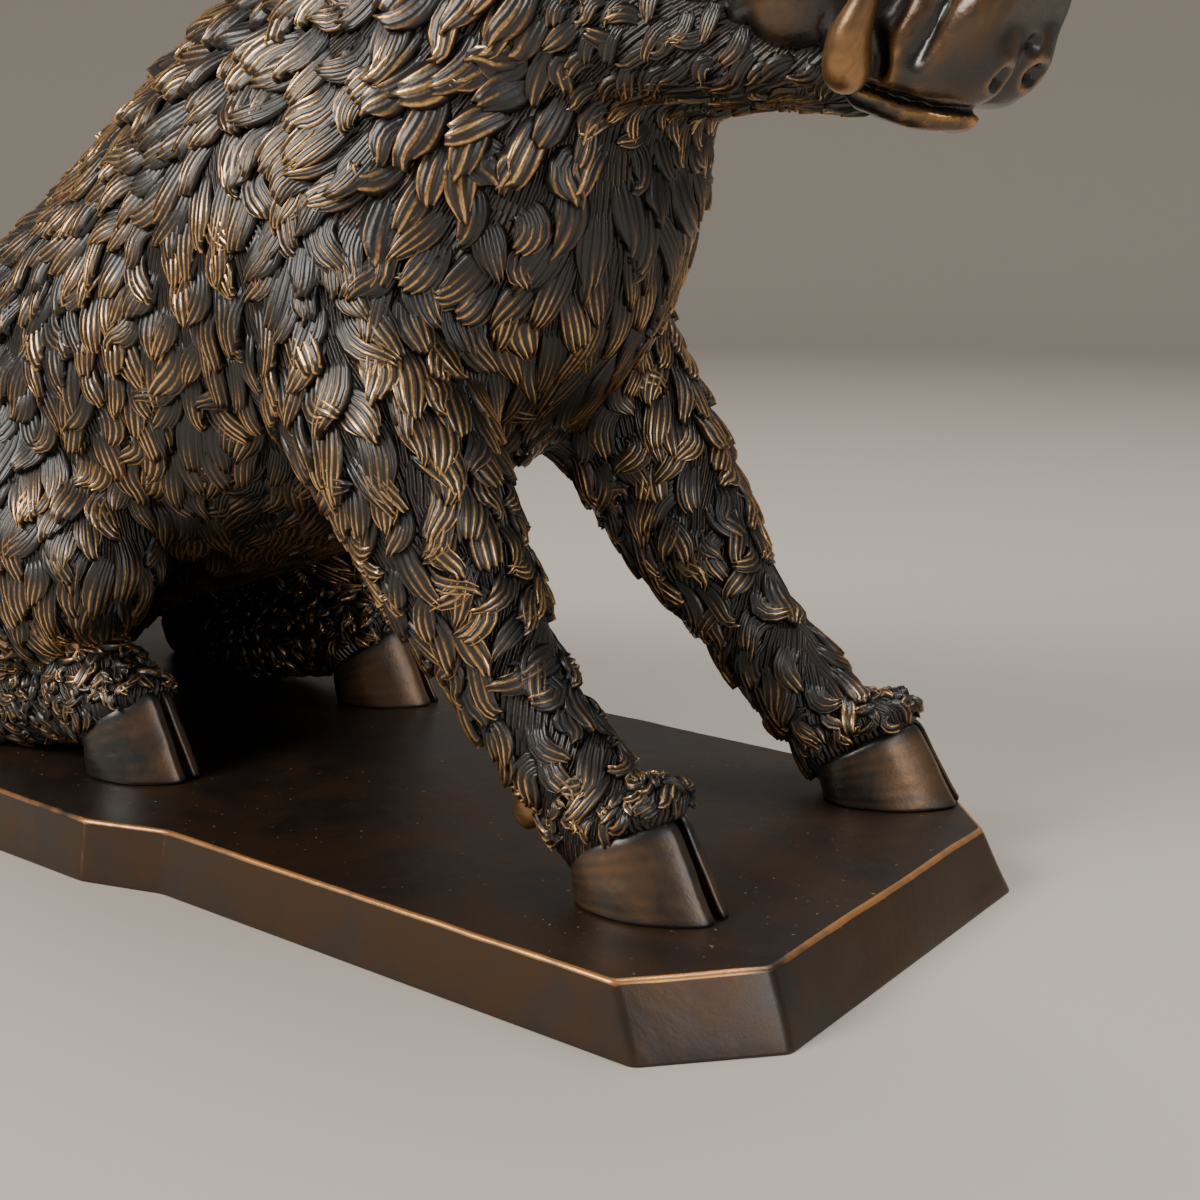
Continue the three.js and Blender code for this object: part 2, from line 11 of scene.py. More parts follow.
import bpy
import numpy as np
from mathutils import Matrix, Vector

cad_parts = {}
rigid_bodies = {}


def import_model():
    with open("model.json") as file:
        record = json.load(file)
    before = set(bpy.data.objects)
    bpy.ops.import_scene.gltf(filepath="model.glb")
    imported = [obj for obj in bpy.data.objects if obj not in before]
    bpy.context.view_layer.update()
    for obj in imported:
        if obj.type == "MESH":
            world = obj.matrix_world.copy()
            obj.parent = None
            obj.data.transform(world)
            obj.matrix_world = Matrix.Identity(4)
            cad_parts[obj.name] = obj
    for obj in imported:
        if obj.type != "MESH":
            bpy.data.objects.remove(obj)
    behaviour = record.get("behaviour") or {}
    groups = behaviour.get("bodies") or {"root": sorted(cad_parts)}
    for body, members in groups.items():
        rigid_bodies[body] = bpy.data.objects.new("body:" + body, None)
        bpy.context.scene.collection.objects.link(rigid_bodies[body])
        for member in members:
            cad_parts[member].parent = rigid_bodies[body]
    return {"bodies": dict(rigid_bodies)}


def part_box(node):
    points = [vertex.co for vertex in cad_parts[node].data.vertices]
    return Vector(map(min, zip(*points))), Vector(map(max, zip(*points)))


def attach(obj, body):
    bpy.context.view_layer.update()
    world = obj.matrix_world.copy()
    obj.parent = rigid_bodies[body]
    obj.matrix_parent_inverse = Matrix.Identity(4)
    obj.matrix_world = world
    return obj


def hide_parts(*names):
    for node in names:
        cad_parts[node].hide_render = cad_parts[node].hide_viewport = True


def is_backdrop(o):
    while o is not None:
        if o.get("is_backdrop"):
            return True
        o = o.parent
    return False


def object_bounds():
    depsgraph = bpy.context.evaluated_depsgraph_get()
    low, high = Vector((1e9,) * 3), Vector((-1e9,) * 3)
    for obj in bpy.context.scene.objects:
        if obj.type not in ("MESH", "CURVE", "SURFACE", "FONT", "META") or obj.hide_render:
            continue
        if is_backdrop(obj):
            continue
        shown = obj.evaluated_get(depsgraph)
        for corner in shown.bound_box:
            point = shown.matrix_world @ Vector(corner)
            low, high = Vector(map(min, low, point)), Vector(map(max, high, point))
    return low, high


MM = 0.001
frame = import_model()
CAD_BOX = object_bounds()
ROOT = next(iter(frame["bodies"]))
rng = np.random.default_rng(11)

# Height of the plinth's top, on which the boar sits.
TOP = np.array(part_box("plinth")[1])[2] / MM


# ---------------------------------------------------------------- camera, lights, floor


def add_camera():
    """Eye 182 mm above the floor, to the boar's right and ahead of it, 37 degrees round and 12.6 down."""
    data = bpy.data.cameras.new("camera")
    data.lens = 49.8
    data.sensor_width = 36
    camera = bpy.data.objects.new("camera", data)
    bpy.context.scene.collection.objects.link(camera)
    turn, down = math.radians(37.3), math.radians(12.6)
    ahead = Vector((-math.sin(turn) * math.cos(down), math.cos(turn) * math.cos(down), -math.sin(down)))
    camera.location = Vector((401, -360, 182.5)) * MM
    camera.rotation_mode = "QUATERNION"
    camera.rotation_quaternion = ahead.to_track_quat("-Z", "Y")
    data.clip_start = 0.01
    data.clip_end = 50
    bpy.context.scene.camera = camera


def add_softbox(name, place, target, size, power, colour):
    """A rectangular soft light at a place in metres, facing a target."""
    data = bpy.data.lights.new(name, "AREA")
    data.shape = "RECTANGLE"
    data.size, data.size_y = size
    data.energy = power
    data.color = colour
    light = bpy.data.objects.new(name, data)
    light.location = place
    light.rotation_mode = "QUATERNION"
    light.rotation_quaternion = (Vector(target) - Vector(place)).to_track_quat("-Z", "Y")
    bpy.context.scene.collection.objects.link(light)


def add_lights():
    middle = (0.05, 0, 0.16)
    add_softbox("key", (-0.55, -1.35, 1.15), middle, (0.7, 0.9), 34, (1, 0.96, 0.9))
    add_softbox("top", (0.25, 0.5, 1.7), middle, (1.1, 0.8), 20, (1, 0.97, 0.93))
    add_softbox("front", (1.5, -0.5, 0.7), middle, (0.5, 0.9), 7, (0.95, 0.97, 1))
    world = bpy.data.worlds.new("studio")
    world.use_nodes = True
    background = world.node_tree.nodes["Background"]
    background.inputs["Color"].default_value = (0.62, 0.6, 0.58, 1)
    background.inputs["Strength"].default_value = 0.35
    bpy.context.scene.world = world


# ---------------------------------------------------------------- meshes


def link_mesh(name, points, faces, attributes=None, uv=None, material=None):
    """Makes an object from points in millimetres, arrays of faces grouped by their corner count,
    one number per point for each attribute, and one (u, v) per point or per face corner."""
    points = np.asarray(points, float).reshape(-1, 3)
    corners = np.concatenate([f.ravel() for f in faces])
    counts = np.concatenate([np.full(len(f), f.shape[1]) for f in faces])
    starts = np.concatenate([[0], np.cumsum(counts)[:-1]])
    mesh = bpy.data.meshes.new(name)
    mesh.vertices.add(len(points))
    mesh.vertices.foreach_set("co", (points * MM).astype(np.float32).ravel())
    mesh.loops.add(len(corners))
    mesh.loops.foreach_set("vertex_index", corners.astype(np.int32))
    mesh.polygons.add(len(counts))
    mesh.polygons.foreach_set("loop_start", starts.astype(np.int32))
    mesh.update(calc_edges=True)
    mesh.validate()
    mesh.polygons.foreach_set("use_smooth", np.ones(len(mesh.polygons), bool))
    for key, values in (attributes or {}).items():
        layer = mesh.attributes.new(key, "FLOAT", "POINT")
        layer.data.foreach_set("value", np.asarray(values, np.float32).ravel())
    if uv is not None:
        layer = mesh.uv_layers.new(name="lie")
        index = np.zeros(len(mesh.loops), np.int32)
        mesh.loops.foreach_get("vertex_index", index)
        uv = np.asarray(uv, np.float32).reshape(-1, 2)
        layer.data.foreach_set("uv", (uv if len(uv) == len(index) else uv[index]).ravel())
    if material:
        mesh.materials.append(material)
    made = bpy.data.objects.new(name, mesh)
    bpy.context.scene.collection.objects.link(made)
    return made


def tube_faces(tubes, stations, ring):
    """Quads between neighbouring rings of each tube, and fans to an end point at both ends.
    Points run tube by tube: all rings, then the root point and the tip point."""
    size = stations * ring + 2
    i, j = np.meshgrid(np.arange(stations - 1), np.arange(ring), indexing="ij")
    a = (i * ring + j).ravel()
    b = (i * ring + (j + 1) % ring).ravel()
    quads = np.stack([a, b, b + ring, a + ring], axis=1)
    j = np.arange(ring)
    after = (j + 1) % ring
    root = np.stack([np.full(ring, stations * ring), after, j], axis=1)
    last = (stations - 1) * ring
    tip = np.stack([np.full(ring, stations * ring + 1), last + j, last + after], axis=1)
    shift = (np.arange(tubes) * size)[:, None, None]
    return [
        (quads[None] + shift).reshape(-1, 4),
        (np.concatenate([root, tip])[None] + shift).reshape(-1, 3),
    ]


def tube_points(rings):
    """Rings of shape (tubes, stations, ring, 3), with the middle of the first and last ring appended."""
    tubes = rings.shape[0]
    flat = rings.reshape(tubes, -1, rings.shape[-1])
    ends = np.stack([rings[:, 0].mean(axis=1), rings[:, -1].mean(axis=1)], axis=1)
    return np.concatenate([flat, ends], axis=1)


def unit(v):
    """Vectors brought to length 1."""
    return v / np.maximum(np.linalg.norm(v, axis=-1, keepdims=True), 1e-9)


def dot(a, b):
    """Dot product over the last axis, which is kept."""
    return (a * b).sum(axis=-1, keepdims=True)


def wobble(p, size, seed):
    """Smooth noise from -1 to 1: fixed random numbers on a lattice of the given size, blended between."""
    q = np.asarray(p, float) / size + seed * 17.31
    cell = np.floor(q).astype(np.int64)
    f = q - cell
    f = f * f * (3 - 2 * f)
    total = 0
    for corner in range(8):
        bits = np.array([corner & 1, corner >> 1 & 1, corner >> 2])
        c = cell + bits
        mixed = c[..., 0] * 73856093 ^ c[..., 1] * 19349663 ^ c[..., 2] * 83492791 ^ seed * 2654435761
        mixed = (mixed ^ mixed >> 13) * 1274126177 & 0x7FFFFFFF
        number = (mixed ^ mixed >> 16) % 65536 / 32768 - 1
        weight = np.where(bits, f, 1 - f).prod(axis=-1)
        total = total + number * weight
    return total


def ramp(x, low, high):
    """0 below low, 1 above high, and a smooth step between."""
    t = np.clip((x - low) / (high - low), 0, 1)
    return t * t * (3 - 2 * t)


# ---------------------------------------------------------------- the implicit form

# s is -1 on the boar's right; foot is where each hoof stands, turn its angle in degrees.
SIDES = [
    dict(name="right", s=-1, fore=(170, -42, -3), hind=(-15, -54, 5)),
    dict(name="left", s=1, fore=(179, 64, 16), hind=(-13, 50, 12)),
]
FEET = [("fore", 1), ("hind", 0.92)]


def spline(points, spans):
    """Centripetal Catmull-Rom curve: cubic Hermite spans whose steps are the square roots of the
    distances between the points. Columns past the third are carried along."""
    p = np.asarray(points, float)
    p = np.vstack([2 * p[0] - p[1], p, 2 * p[-1] - p[-2]])
    steps = np.maximum(np.linalg.norm(np.diff(p[:, :3], axis=0), axis=1) ** 0.5, 1e-4)
    t = np.linspace(0, len(p) - 3, spans + 1)
    i = np.minimum(t.astype(int), len(p) - 4)
    t = (t - i)[:, None]
    p0, p1, p2, p3 = p[i], p[i + 1], p[i + 2], p[i + 3]
    d0, d1, d2 = steps[i][:, None], steps[i + 1][:, None], steps[i + 2][:, None]
    m1 = ((p1 - p0) / d0 - (p2 - p0) / (d0 + d1) + (p2 - p1) / d1) * d1
    m2 = ((p2 - p1) / d1 - (p3 - p1) / (d1 + d2) + (p3 - p2) / d2) * d1
    return (
        p1
        + m1 * t
        + (3 * (p2 - p1) - 2 * m1 - m2) * t**2
        + (2 * (p1 - p2) + m1 + m2) * t**3
    )


class Limb:
    """A chain of round spans. Each point is x, y, z, radius, and half width along Y over the radius."""

    def __init__(self, points, spans, reach, flow):
        self.stations = spline([[*p, 1][:5] for p in points], spans)
        self.reach = reach
        self.flow = unit(np.array(flow, float))
        radius = self.stations[:, 3:4]
        self.low = (self.stations[:, :3] - radius).min(axis=0) - 22
        self.high = (self.stations[:, :3] + radius).max(axis=0) + 22

    def value(self, p):
        """Distance to the nearest span's axis, with Y stretched by the width ratio, less its radius."""
        out = np.full(len(p), 60.0, np.float32)
        near = ((p > self.low) & (p < self.high)).all(axis=1)
        q = p[near]
        best = np.full(len(q), 60.0, np.float32)
        for a, b in zip(self.stations[:-1], self.stations[1:]):
            edge = (b - a)[:3].astype(np.float32)
            away = q - a[:3].astype(np.float32)
            t = np.clip(away @ edge / (edge @ edge), 0, 1)
            away = away - t[:, None] * edge
            width = a[4] + (b[4] - a[4]) * t
            length = np.sqrt(away[:, 0] ** 2 + (away[:, 1] / width) ** 2 + away[:, 2] ** 2)
            best = np.minimum(best, length - a[3] - (b[3] - a[3]) * t)
        out[near] = best
        return out


def melt(a, b, reach):
    """The lesser of two values, less a quarter of the reach where they are equal, fading to none a reach
    apart."""
    h = np.maximum(reach - np.abs(a - b), 0) / reach
    return np.minimum(a, b) - h * h * reach / 4


# The foreleg below the elbow: height of the axis, its x for a foot at x = 170, radius.
FORELEG = [
    (128, 98, 25),
    (114, 106, 23),
    (94, 117, 19.8),
    (76, 128, 15.6),
    (56, 143.5, 13.8),
    (40, 158, 12.8),
    (27, 164, 10.5),
]


def foreleg(side):
    s, (foot_x, foot_y, _) = side["s"], side["fore"]
    lower = []
    for z, x, radius in FORELEG:
        share = (FORELEG[0][0] - z) / (FORELEG[0][0] - TOP)
        y = s * 49 + (foot_y - s * 49) * share
        lower.append((x + (foot_x - 170) * share, y, z, radius, 0.88 + 0.12 * share))
    shoulder = [(58, s * 38, 178, 45, 0.6), (80, s * 45, 150, 32, 0.74)]
    return Limb(shoulder + lower, 30, 14, (0.5, 0, -0.86))


def thigh(side):
    s = side["s"]
    points = [
        (-138, s * 36, 92, 52, 0.72),
        (-104, s * 46, 94, 50, 0.66),
        (-66, s * 54, 93, 37, 0.66),
        (-32, s * 56, 84, 25, 0.8),
    ]
    return Limb(points, 14, 10, (-0.1, 0, -1))


def shank(side):
    s, (foot_x, foot_y, _) = side["s"], side["hind"]
    points = [
        (-44, s * 58, 70, 20, 0.9),
        (-82, s * 60, 47, 16),
        (-118, s * 60, 32, 16),
        (-112, s * 60, 31, 15.5),
        (-74, foot_y - 4, 32, 15),
        (foot_x - 28, foot_y, TOP + 20, 15),
        (foot_x - 12, foot_y, TOP + 23, 15.5),
        (foot_x - 5, foot_y, TOP + 13, 9.5),
    ]
    return Limb(points, 26, 6, (0.9, 0, -0.45))


def coronet(side, part, scale):
    """The thick ring of hair round the top of a hoof, slanting up to the front."""
    x, y, _ = side[part]
    points = [(x - 10 * scale, y, TOP + 16, 10 * scale, 1.25), (x + 7 * scale, y, TOP + 26, 6.3 * scale, 1.9)]
    return Limb(points, 2, 6, (0.5, 0, -0.86))


def cheek(side):
    s = side["s"]
    points = [(126, s * 27, 240, 27, 0.62), (160, s * 21, 231, 18, 0.66), (200, s * 13, 226, 12, 0.8)]
    return Limb(points, 8, 9, (-0.75, 0, -0.65))


def brow(side):
    s = side["s"]
    return Limb([(130, s * 24, 283, 13), (152, s * 20, 271, 9)], 3, 8, (-0.85, 0, 0.3))


TORSO = Limb(
    [
        (-148, 0, 66, 53, 1.0),
        (-118, 0, 100, 63, 1.0),
        (-74, 0, 122, 67, 0.97),
        (-16, 0, 147, 72, 0.92),
        (36, 0, 174, 77, 0.84),
        (74, 0, 195, 71.5, 0.86),
        (95, 0, 229, 59.5, 0.86),
        (124, 0, 253, 48, 0.86),
        (160, 0, 246, 33.5, 0.84),
        (194, 0, 236, 23, 0.84),
        (229, 0, 228, 15.5, 1.05),
    ],
    40,
    1,
    (-0.5, 0, -0.86),
)
CREST = Limb(
    [
        (-24, 0, 206, 15, 0.8),
        (4, 0, 232, 18, 0.7),
        (36, 0, 266, 20, 0.6),
        (72, 0, 289, 18, 0.6),
        (106, 0, 291, 14, 0.7),
    ],
    12,
    16,
    (-0.85, 0, -0.5),
)
JAW = Limb(
    [(150, 0, 228, 17, 1.1), (192, 0, 221, 9.5, 1.3), (220, 0, 211, 6, 1.5), (228, 0, 209.5, 4.2, 1.6)],
    8,
    5,
    (-1, 0, 0),
)
THIGHS = [thigh(side) for side in SIDES]
FORELEGS = [foreleg(side) for side in SIDES]
SHANKS = [shank(side) for side in SIDES]
CORONETS = [coronet(side, part, scale) for side in SIDES for part, scale in FEET]
CHEEKS = [cheek(side) for side in SIDES]
BROWS = [brow(side) for side in SIDES]
FORM = [TORSO, CREST, *THIGHS, *FORELEGS, *SHANKS, *CORONETS, *CHEEKS, JAW, *BROWS]


def body_value(p):
    """Every limb melted into those before it."""
    p = np.asarray(p, np.float32)
    value = np.full(len(p), 60.0, np.float32)
    for limb in FORM:
        value = melt(value, limb.value(p), limb.reach)
    return value


def skin(value, low, high, step, blocks=4):
    """Surface nets: one point in each cell that the surface crosses, at the mean of the crossings on its
    edges, and one quad round each lattice edge that it crosses. Values are worked out on a coarse lattice
    first, and finely only near the surface."""
    low = np.array(low, float)
    n = np.ceil((np.array(high) - low) / (step * blocks)).astype(int)
    coarse_at = np.stack(np.meshgrid(*[np.arange(k + 1) for k in n], indexing="ij"), axis=-1)
    coarse = value((coarse_at * step * blocks + low).reshape(-1, 3)).reshape(n + 1)
    near = np.abs(coarse) < step * blocks * 2.1
    fine_near = near.repeat(blocks, 0).repeat(blocks, 1).repeat(blocks, 2)
    samples = coarse.repeat(blocks, 0).repeat(blocks, 1).repeat(blocks, 2).astype(np.float32)
    half = blocks // 2
    fine_near, samples = (
        a[half : half + n[0] * blocks, half : half + n[1] * blocks, half : half + n[2] * blocks].copy()
        for a in (fine_near, samples)
    )
    at = np.argwhere(fine_near)
    samples[fine_near] = value(at * step + low)
    inside = samples < 0
    corners = np.array([[c & 1, c >> 1 & 1, c >> 2] for c in range(8)])
    size = np.array(samples.shape) - 1
    count = sum(
        inside[x : x + size[0], y : y + size[1], z : z + size[2]].astype(np.int8) for x, y, z in corners
    )
    cells = np.argwhere((count > 0) & (count < 8))
    number = np.full(size, -1, np.int64)
    number[tuple(cells.T)] = np.arange(len(cells))
    held = np.stack([samples[tuple((cells + c).T)] for c in corners], axis=1)
    total = np.zeros((len(cells), 3))
    crossings = np.zeros((len(cells), 1))
    for a in range(8):
        for bit in (1, 2, 4):
            if a & bit:
                continue
            b = a | bit
            crossed = (held[:, a] < 0) != (held[:, b] < 0)
            gap = held[:, a] - held[:, b]
            t = np.where(crossed, held[:, a] / np.where(gap == 0, 1, gap), 0)[:, None]
            total += np.where(crossed[:, None], corners[a] + (corners[b] - corners[a]) * t, 0)
            crossings += crossed[:, None]
    points = (cells + total / crossings) * step + low
    quads = []
    for axis in range(3):
        u, w = np.eye(3, dtype=int)[(axis + 1) % 3], np.eye(3, dtype=int)[(axis + 2) % 3]
        ahead = np.eye(3, dtype=int)[axis]
        start = inside[: size[0], : size[1], : size[2]]
        x, y, z = ahead
        end = inside[x : x + size[0], y : y + size[1], z : z + size[2]]
        edges = np.argwhere(start != end)
        edges = edges[(edges > 0).all(axis=1)]
        ring = [number[tuple((edges - d).T)] for d in (u + w, w, 0 * u, u)]
        faces = np.stack(ring, axis=1)
        outward = start[tuple(edges.T)]
        faces = np.where(outward[:, None], faces, faces[:, ::-1])
        quads.append(faces)
    quads = np.concatenate(quads)
    return points, quads[(quads >= 0).all(axis=1)]


class Field:
    """A value kept on a lattice and read between its points by linear blending."""

    def __init__(self, value, low, high, step):
        self.low, self.step = np.array(low, float), step
        n = np.ceil((np.array(high) - self.low) / step).astype(int) + 1
        at = np.stack(np.meshgrid(*[np.arange(k) for k in n], indexing="ij"), axis=-1)
        self.values = value((at * step + self.low).reshape(-1, 3)).reshape(n)

    def __call__(self, p):
        q = (np.asarray(p) - self.low) / self.step
        q = np.clip(q, 0, np.array(self.values.shape) - 1.001)
        i = q.astype(int)
        f = q - i
        total = 0
        for c in range(8):
            bits = np.array([c & 1, c >> 1 & 1, c >> 2])
            at = i + bits
            weight = np.where(bits, f, 1 - f).prod(axis=-1)
            total = total + self.values[at[..., 0], at[..., 1], at[..., 2]] * weight
        return total

    def slope(self, p):
        step = self.step * 0.75
        shifts = np.eye(3) * step
        return np.stack([(self(p + d) - self(p - d)) / (2 * step) for d in shifts], axis=-1)


# Half width of one claw, heel and toe at the sole and at the coronet, and the coronet's height there.
CLAW = dict(half=8.4, sole=(-13, 27), coronet=(-15, 14), heights=dict(fore=(9.5, 23.5), hind=(10, 29)))

# Centre and radii of the smooth bulge of the cheek, and the middle of the eye, on the left side.
BULGE = (197, 19, 234), (14.5, 10, 12.5)
EYE = np.array([152, 23, 262])


def ball(p, centre, radii):
    """Distance to an ellipsoid, about true near its surface."""
    q = (p - np.array(centre)) / np.array(radii)
    length = np.linalg.norm(q, axis=1)
    return (length - 1) * length / np.maximum(np.linalg.norm(q / np.array(radii), axis=1), 1e-6)


FORM_LOW, FORM_HIGH = (-222, -98, 2), (262, 98, 326)
FIELD = Field(body_value, FORM_LOW, FORM_HIGH, 4)


def settle(p, times=2):
    """Moves points to the surface along the value's slope, and gives the outward normals there."""
    for _ in range(times):
        g = FIELD.slope(p)
        p = p - FIELD(p)[..., None] * g / np.maximum(dot(g, g), 0.1)
    return p, unit(FIELD.slope(p))


# ---------------------------------------------------------------- materials


class Socket:
    """An output socket of a shader node, or a number, that takes part in arithmetic by adding Math nodes."""

    def __init__(self, shader, link):
        self.shader, self.link = shader, link

    def math(self, operation, other):
        return self.shader.node("ShaderNodeMath", dict(operation=operation), {0: self, 1: other})

    def __add__(self, other):
        return self.math("ADD", other)

    def __sub__(self, other):
        return self.math("SUBTRACT", other)

    def __rsub__(self, other):
        return Socket(self.shader, other).math("SUBTRACT", self)

    def __mul__(self, other):
        return self.math("MULTIPLY", other)

    __radd__ = __add__
    __rmul__ = __mul__

    def ramp(self, low, high):
        """0 below low, 1 above high, smooth between."""
        values = {"Value": self, "From Min": low, "From Max": high, "To Min": 0, "To Max": 1}
        return self.shader.node("ShaderNodeMapRange", dict(interpolation_type="SMOOTHSTEP"), values)


class Shader:
    """A material whose nodes are made through one method."""

    def __init__(self, name):
        self.material = bpy.data.materials.new(name)
        self.material.use_nodes = True
        self.tree = self.material.node_tree
        self.surface = self.tree.nodes["Principled BSDF"]
        self.place = self.node("ShaderNodeTexCoord", {}, {}, "Object")

    def node(self, kind, settings, values, output=0):
        """Adds a node: its settings first, then the values or links of its sockets. Gives one output."""
        made = self.tree.nodes.new(kind)
        for key, value in settings.items():
            setattr(made, key, value)
        self.fill(made, values)
        return Socket(self, made.outputs[output])

    def fill(self, node, values):
        """Sets or links the sockets of a node by name or number."""
        for key, value in values.items():
            socket = node.inputs[key]
            if isinstance(value, Socket) and isinstance(value.link, bpy.types.NodeSocket):
                self.tree.links.new(value.link, socket)
            else:
                socket.default_value = value.link if isinstance(value, Socket) else value

    def noise(self, scale, detail=3, roughness=0.55, place=None, distortion=0):
        values = {"Vector": place or self.place, "Scale": scale, "Detail": detail}
        values |= {"Roughness": roughness, "Distortion": distortion}
        return self.node("ShaderNodeTexNoise", {}, values, "Fac")

    def strands(self, scale, distortion, detail):
        """Bands along the hair, from the UV that lies across and along it."""
        lie = self.node("ShaderNodeUVMap", dict(uv_map="lie"), {})
        values = {"Vector": lie, "Scale": scale, "Distortion": distortion, "Detail": detail}
        return self.node("ShaderNodeTexWave", {}, values, "Fac")

    def attribute(self, name):
        return self.node("ShaderNodeAttribute", dict(attribute_name=name), {}, "Fac")

    def mix(self, factor, a, b):
        return self.node("ShaderNodeMix", dict(data_type="RGBA"), {0: factor, 6: a, 7: b}, 2)

    def bump(self, height, distance, strength):
        values = {"Height": height, "Distance": distance, "Strength": strength}
        return self.node("ShaderNodeBump", {}, values, "Normal")

    def finish(self, **values):
        """Fills the surface's sockets, named with underscores for spaces."""
        self.fill(self.surface, {key.replace("_", " "): value for key, value in values.items()})
        return self.material


DARK = (0.012, 0.0105, 0.0095, 1)
BROWN = (0.055, 0.031, 0.015, 1)
GOLD = (0.5, 0.25, 0.08, 1)
PALE_GOLD = (0.8, 0.5, 0.22, 1)


def hair_colour(m, worn, warm):
    """Dark patina, browner where warm, worn through to gold."""
    speck = m.noise(900, 2)
    base = m.mix(warm, DARK, BROWN)
    return m.mix(worn, base, m.mix((speck + worn * 0.5).ramp(0.5, 1.1), GOLD, PALE_GOLD))


def hair_bronze():
    """Dark patina in the grooves, worn to golden brown on the strands' crests, most of all at the tips. The
    grooves and the locks' sunk roots are also painted darker as painted shade, for the shadow between strands
    and under the neighbouring locks.
    """
    m = Shader("hair_bronze")
    ridge, rise, rub = m.attribute("ridge"), m.attribute("rise"), m.attribute("rub")
    speck = m.noise(900, 2)
    cloud = m.noise(38, 4)
    fine = m.strands(0.62, 1.2, 2)
    crest = ridge.ramp(0.3, 0.9)
    wear = crest * (0.32 + 0.5 * rise) + 0.4 * (cloud - 0.5) + 0.22 * (speck - 0.5) + 0.4 * (rub - 0.5)
    worn = wear.ramp(0.42, 0.95)
    # Painted shade: besides the random brown patina, the base is painted darker where ridge is low, in the
    # grooves, and where rise is low, at the sunk roots of the locks.
    warm = (cloud * 0.6 + rise * 0.3 + ridge * 0.25 + (rub - 0.5) * 0.3).ramp(0.4, 1.0)
    return m.finish(
        Base_Color=hair_colour(m, worn, warm),
        Metallic=0.35 + 0.6 * worn,
        Roughness=0.4 - 0.12 * worn + 0.14 * (speck - 0.5),
        Normal=m.bump(fine * 0.6 + speck * 0.3, 0.0004, 0.5),
        IOR=1.8,
    )


def skin_bronze():
    """The form under the hair: darker still, engraved with finer strands along the hair."""
    m = Shader("under_bronze")
    cloud = m.noise(60, 4)
    speck = m.noise(1100, 2)
    strands = m.strands(0.314, 1.5, 1)
    worn = (strands.ramp(0.6, 1) * 0.6 + 0.5 * (cloud - 0.5) + 0.3 * (speck - 0.5)).ramp(0.5, 0.95)
    return m.finish(
        Base_Color=hair_colour(m, worn * 0.7, cloud.ramp(0.5, 0.9)),
        Metallic=0.35,
        Roughness=0.42 + 0.1 * (speck - 0.5),
        Normal=m.bump(strands + speck * 0.2, 0.0009, 0.8),
        IOR=1.8,
    )


def smooth_bronze(name, brown, rubbed, gloss, dark):
    """Bare bronze of muzzle, hooves and tusks: near black in the hollows and in blotches, brown where it
    stands out, golden on its worn edges, softly polished. Dark is how far the black spreads."""
    m = Shader(name)
    edge = m.attribute("edge")
    cloud = m.noise(30, 5, 0.6, distortion=0.6)
    blotch = m.noise(85, 4)
    speck = m.noise(1300, 2)
    streaks = m.node("ShaderNodeMapping", {}, {"Vector": m.place, "Scale": (120, 1400, 420)})
    scratch = m.noise(1, 2, place=streaks)
    stands_out = edge * 0.9 + 1.3 * (cloud - 0.5) + 0.7 * (blotch - 0.5)
    worn = (edge * 1.2 + 0.5 * (cloud - 0.5) + 0.35 * (scratch - 0.5)).ramp(0.3, 1.0)
    lit = stands_out.ramp(dark - 0.35, dark + 0.45)
    colour = m.mix(worn, m.mix(lit, DARK, brown), rubbed)
    return m.finish(
        Base_Color=colour,
        Metallic=0.3 + 0.45 * lit + 0.25 * worn,
        Roughness=gloss + 0.16 * (cloud - 0.5) + 0.12 * (scratch - 0.5),
        Normal=m.bump(cloud * 0.5 + blotch * 0.3 + speck * 0.04, 0.0014, 0.6),
        IOR=1.8,
    )


def plinth_bronze():
    """Near-black satin top with fine pale specks and a brown glow, mottled sides painted warmer and lighter
    to stand in for the key light falling on them, bright worn edges."""
    m = Shader("plinth_bronze")
    edge, flank = m.attribute("edge"), m.attribute("flank")
    cloud = m.noise(17, 5, 0.62, distortion=0.8)
    blotch = m.noise(60, 4)
    speck = m.noise(620, 1.5)
    grit = m.noise(2200, 1)
    worn = (edge + 0.9 * (blotch - 0.5) + 1.1 * (cloud - 0.5)).ramp(0.72, 1.25)
    # Painted light: 0.22 * flank lifts every side towards the lighter brown, as if lit by the key light; the
    # cloud and blotch mottling is the bronze's own.
    glow = (cloud * 1.2 + blotch * 0.7 + 0.22 * flank).ramp(0.75, 1.45)
    base = m.mix(glow, (0.012, 0.0098, 0.0085, 1), (0.075, 0.038, 0.016, 1))
    dots = speck.ramp(0.71, 0.76) * (1 - flank) * (cloud + blotch).ramp(0.85, 1.1)
    colour = m.mix(worn, m.mix(dots * 0.7, base, (0.4, 0.32, 0.24, 1)), (0.7, 0.33, 0.12, 1))
    return m.finish(
        Base_Color=colour,
        Metallic=0.25 + 0.4 * glow + 0.35 * worn,
        Roughness=0.32 + 0.16 * (cloud - 0.5) + 0.1 * grit - 0.08 * worn,
        Normal=m.bump(cloud * 0.7 + blotch * 0.18 + grit * 0.03 + dots * 0.05, 0.0012, 0.5),
        IOR=1.7,
    )


def studio_floor():
    """Plain, pale and matt."""
    m = Shader("studio_floor")
    return m.finish(Base_Color=(0.5, 0.46, 0.41, 1), Roughness=0.85)


# ---------------------------------------------------------------- wear from the shape


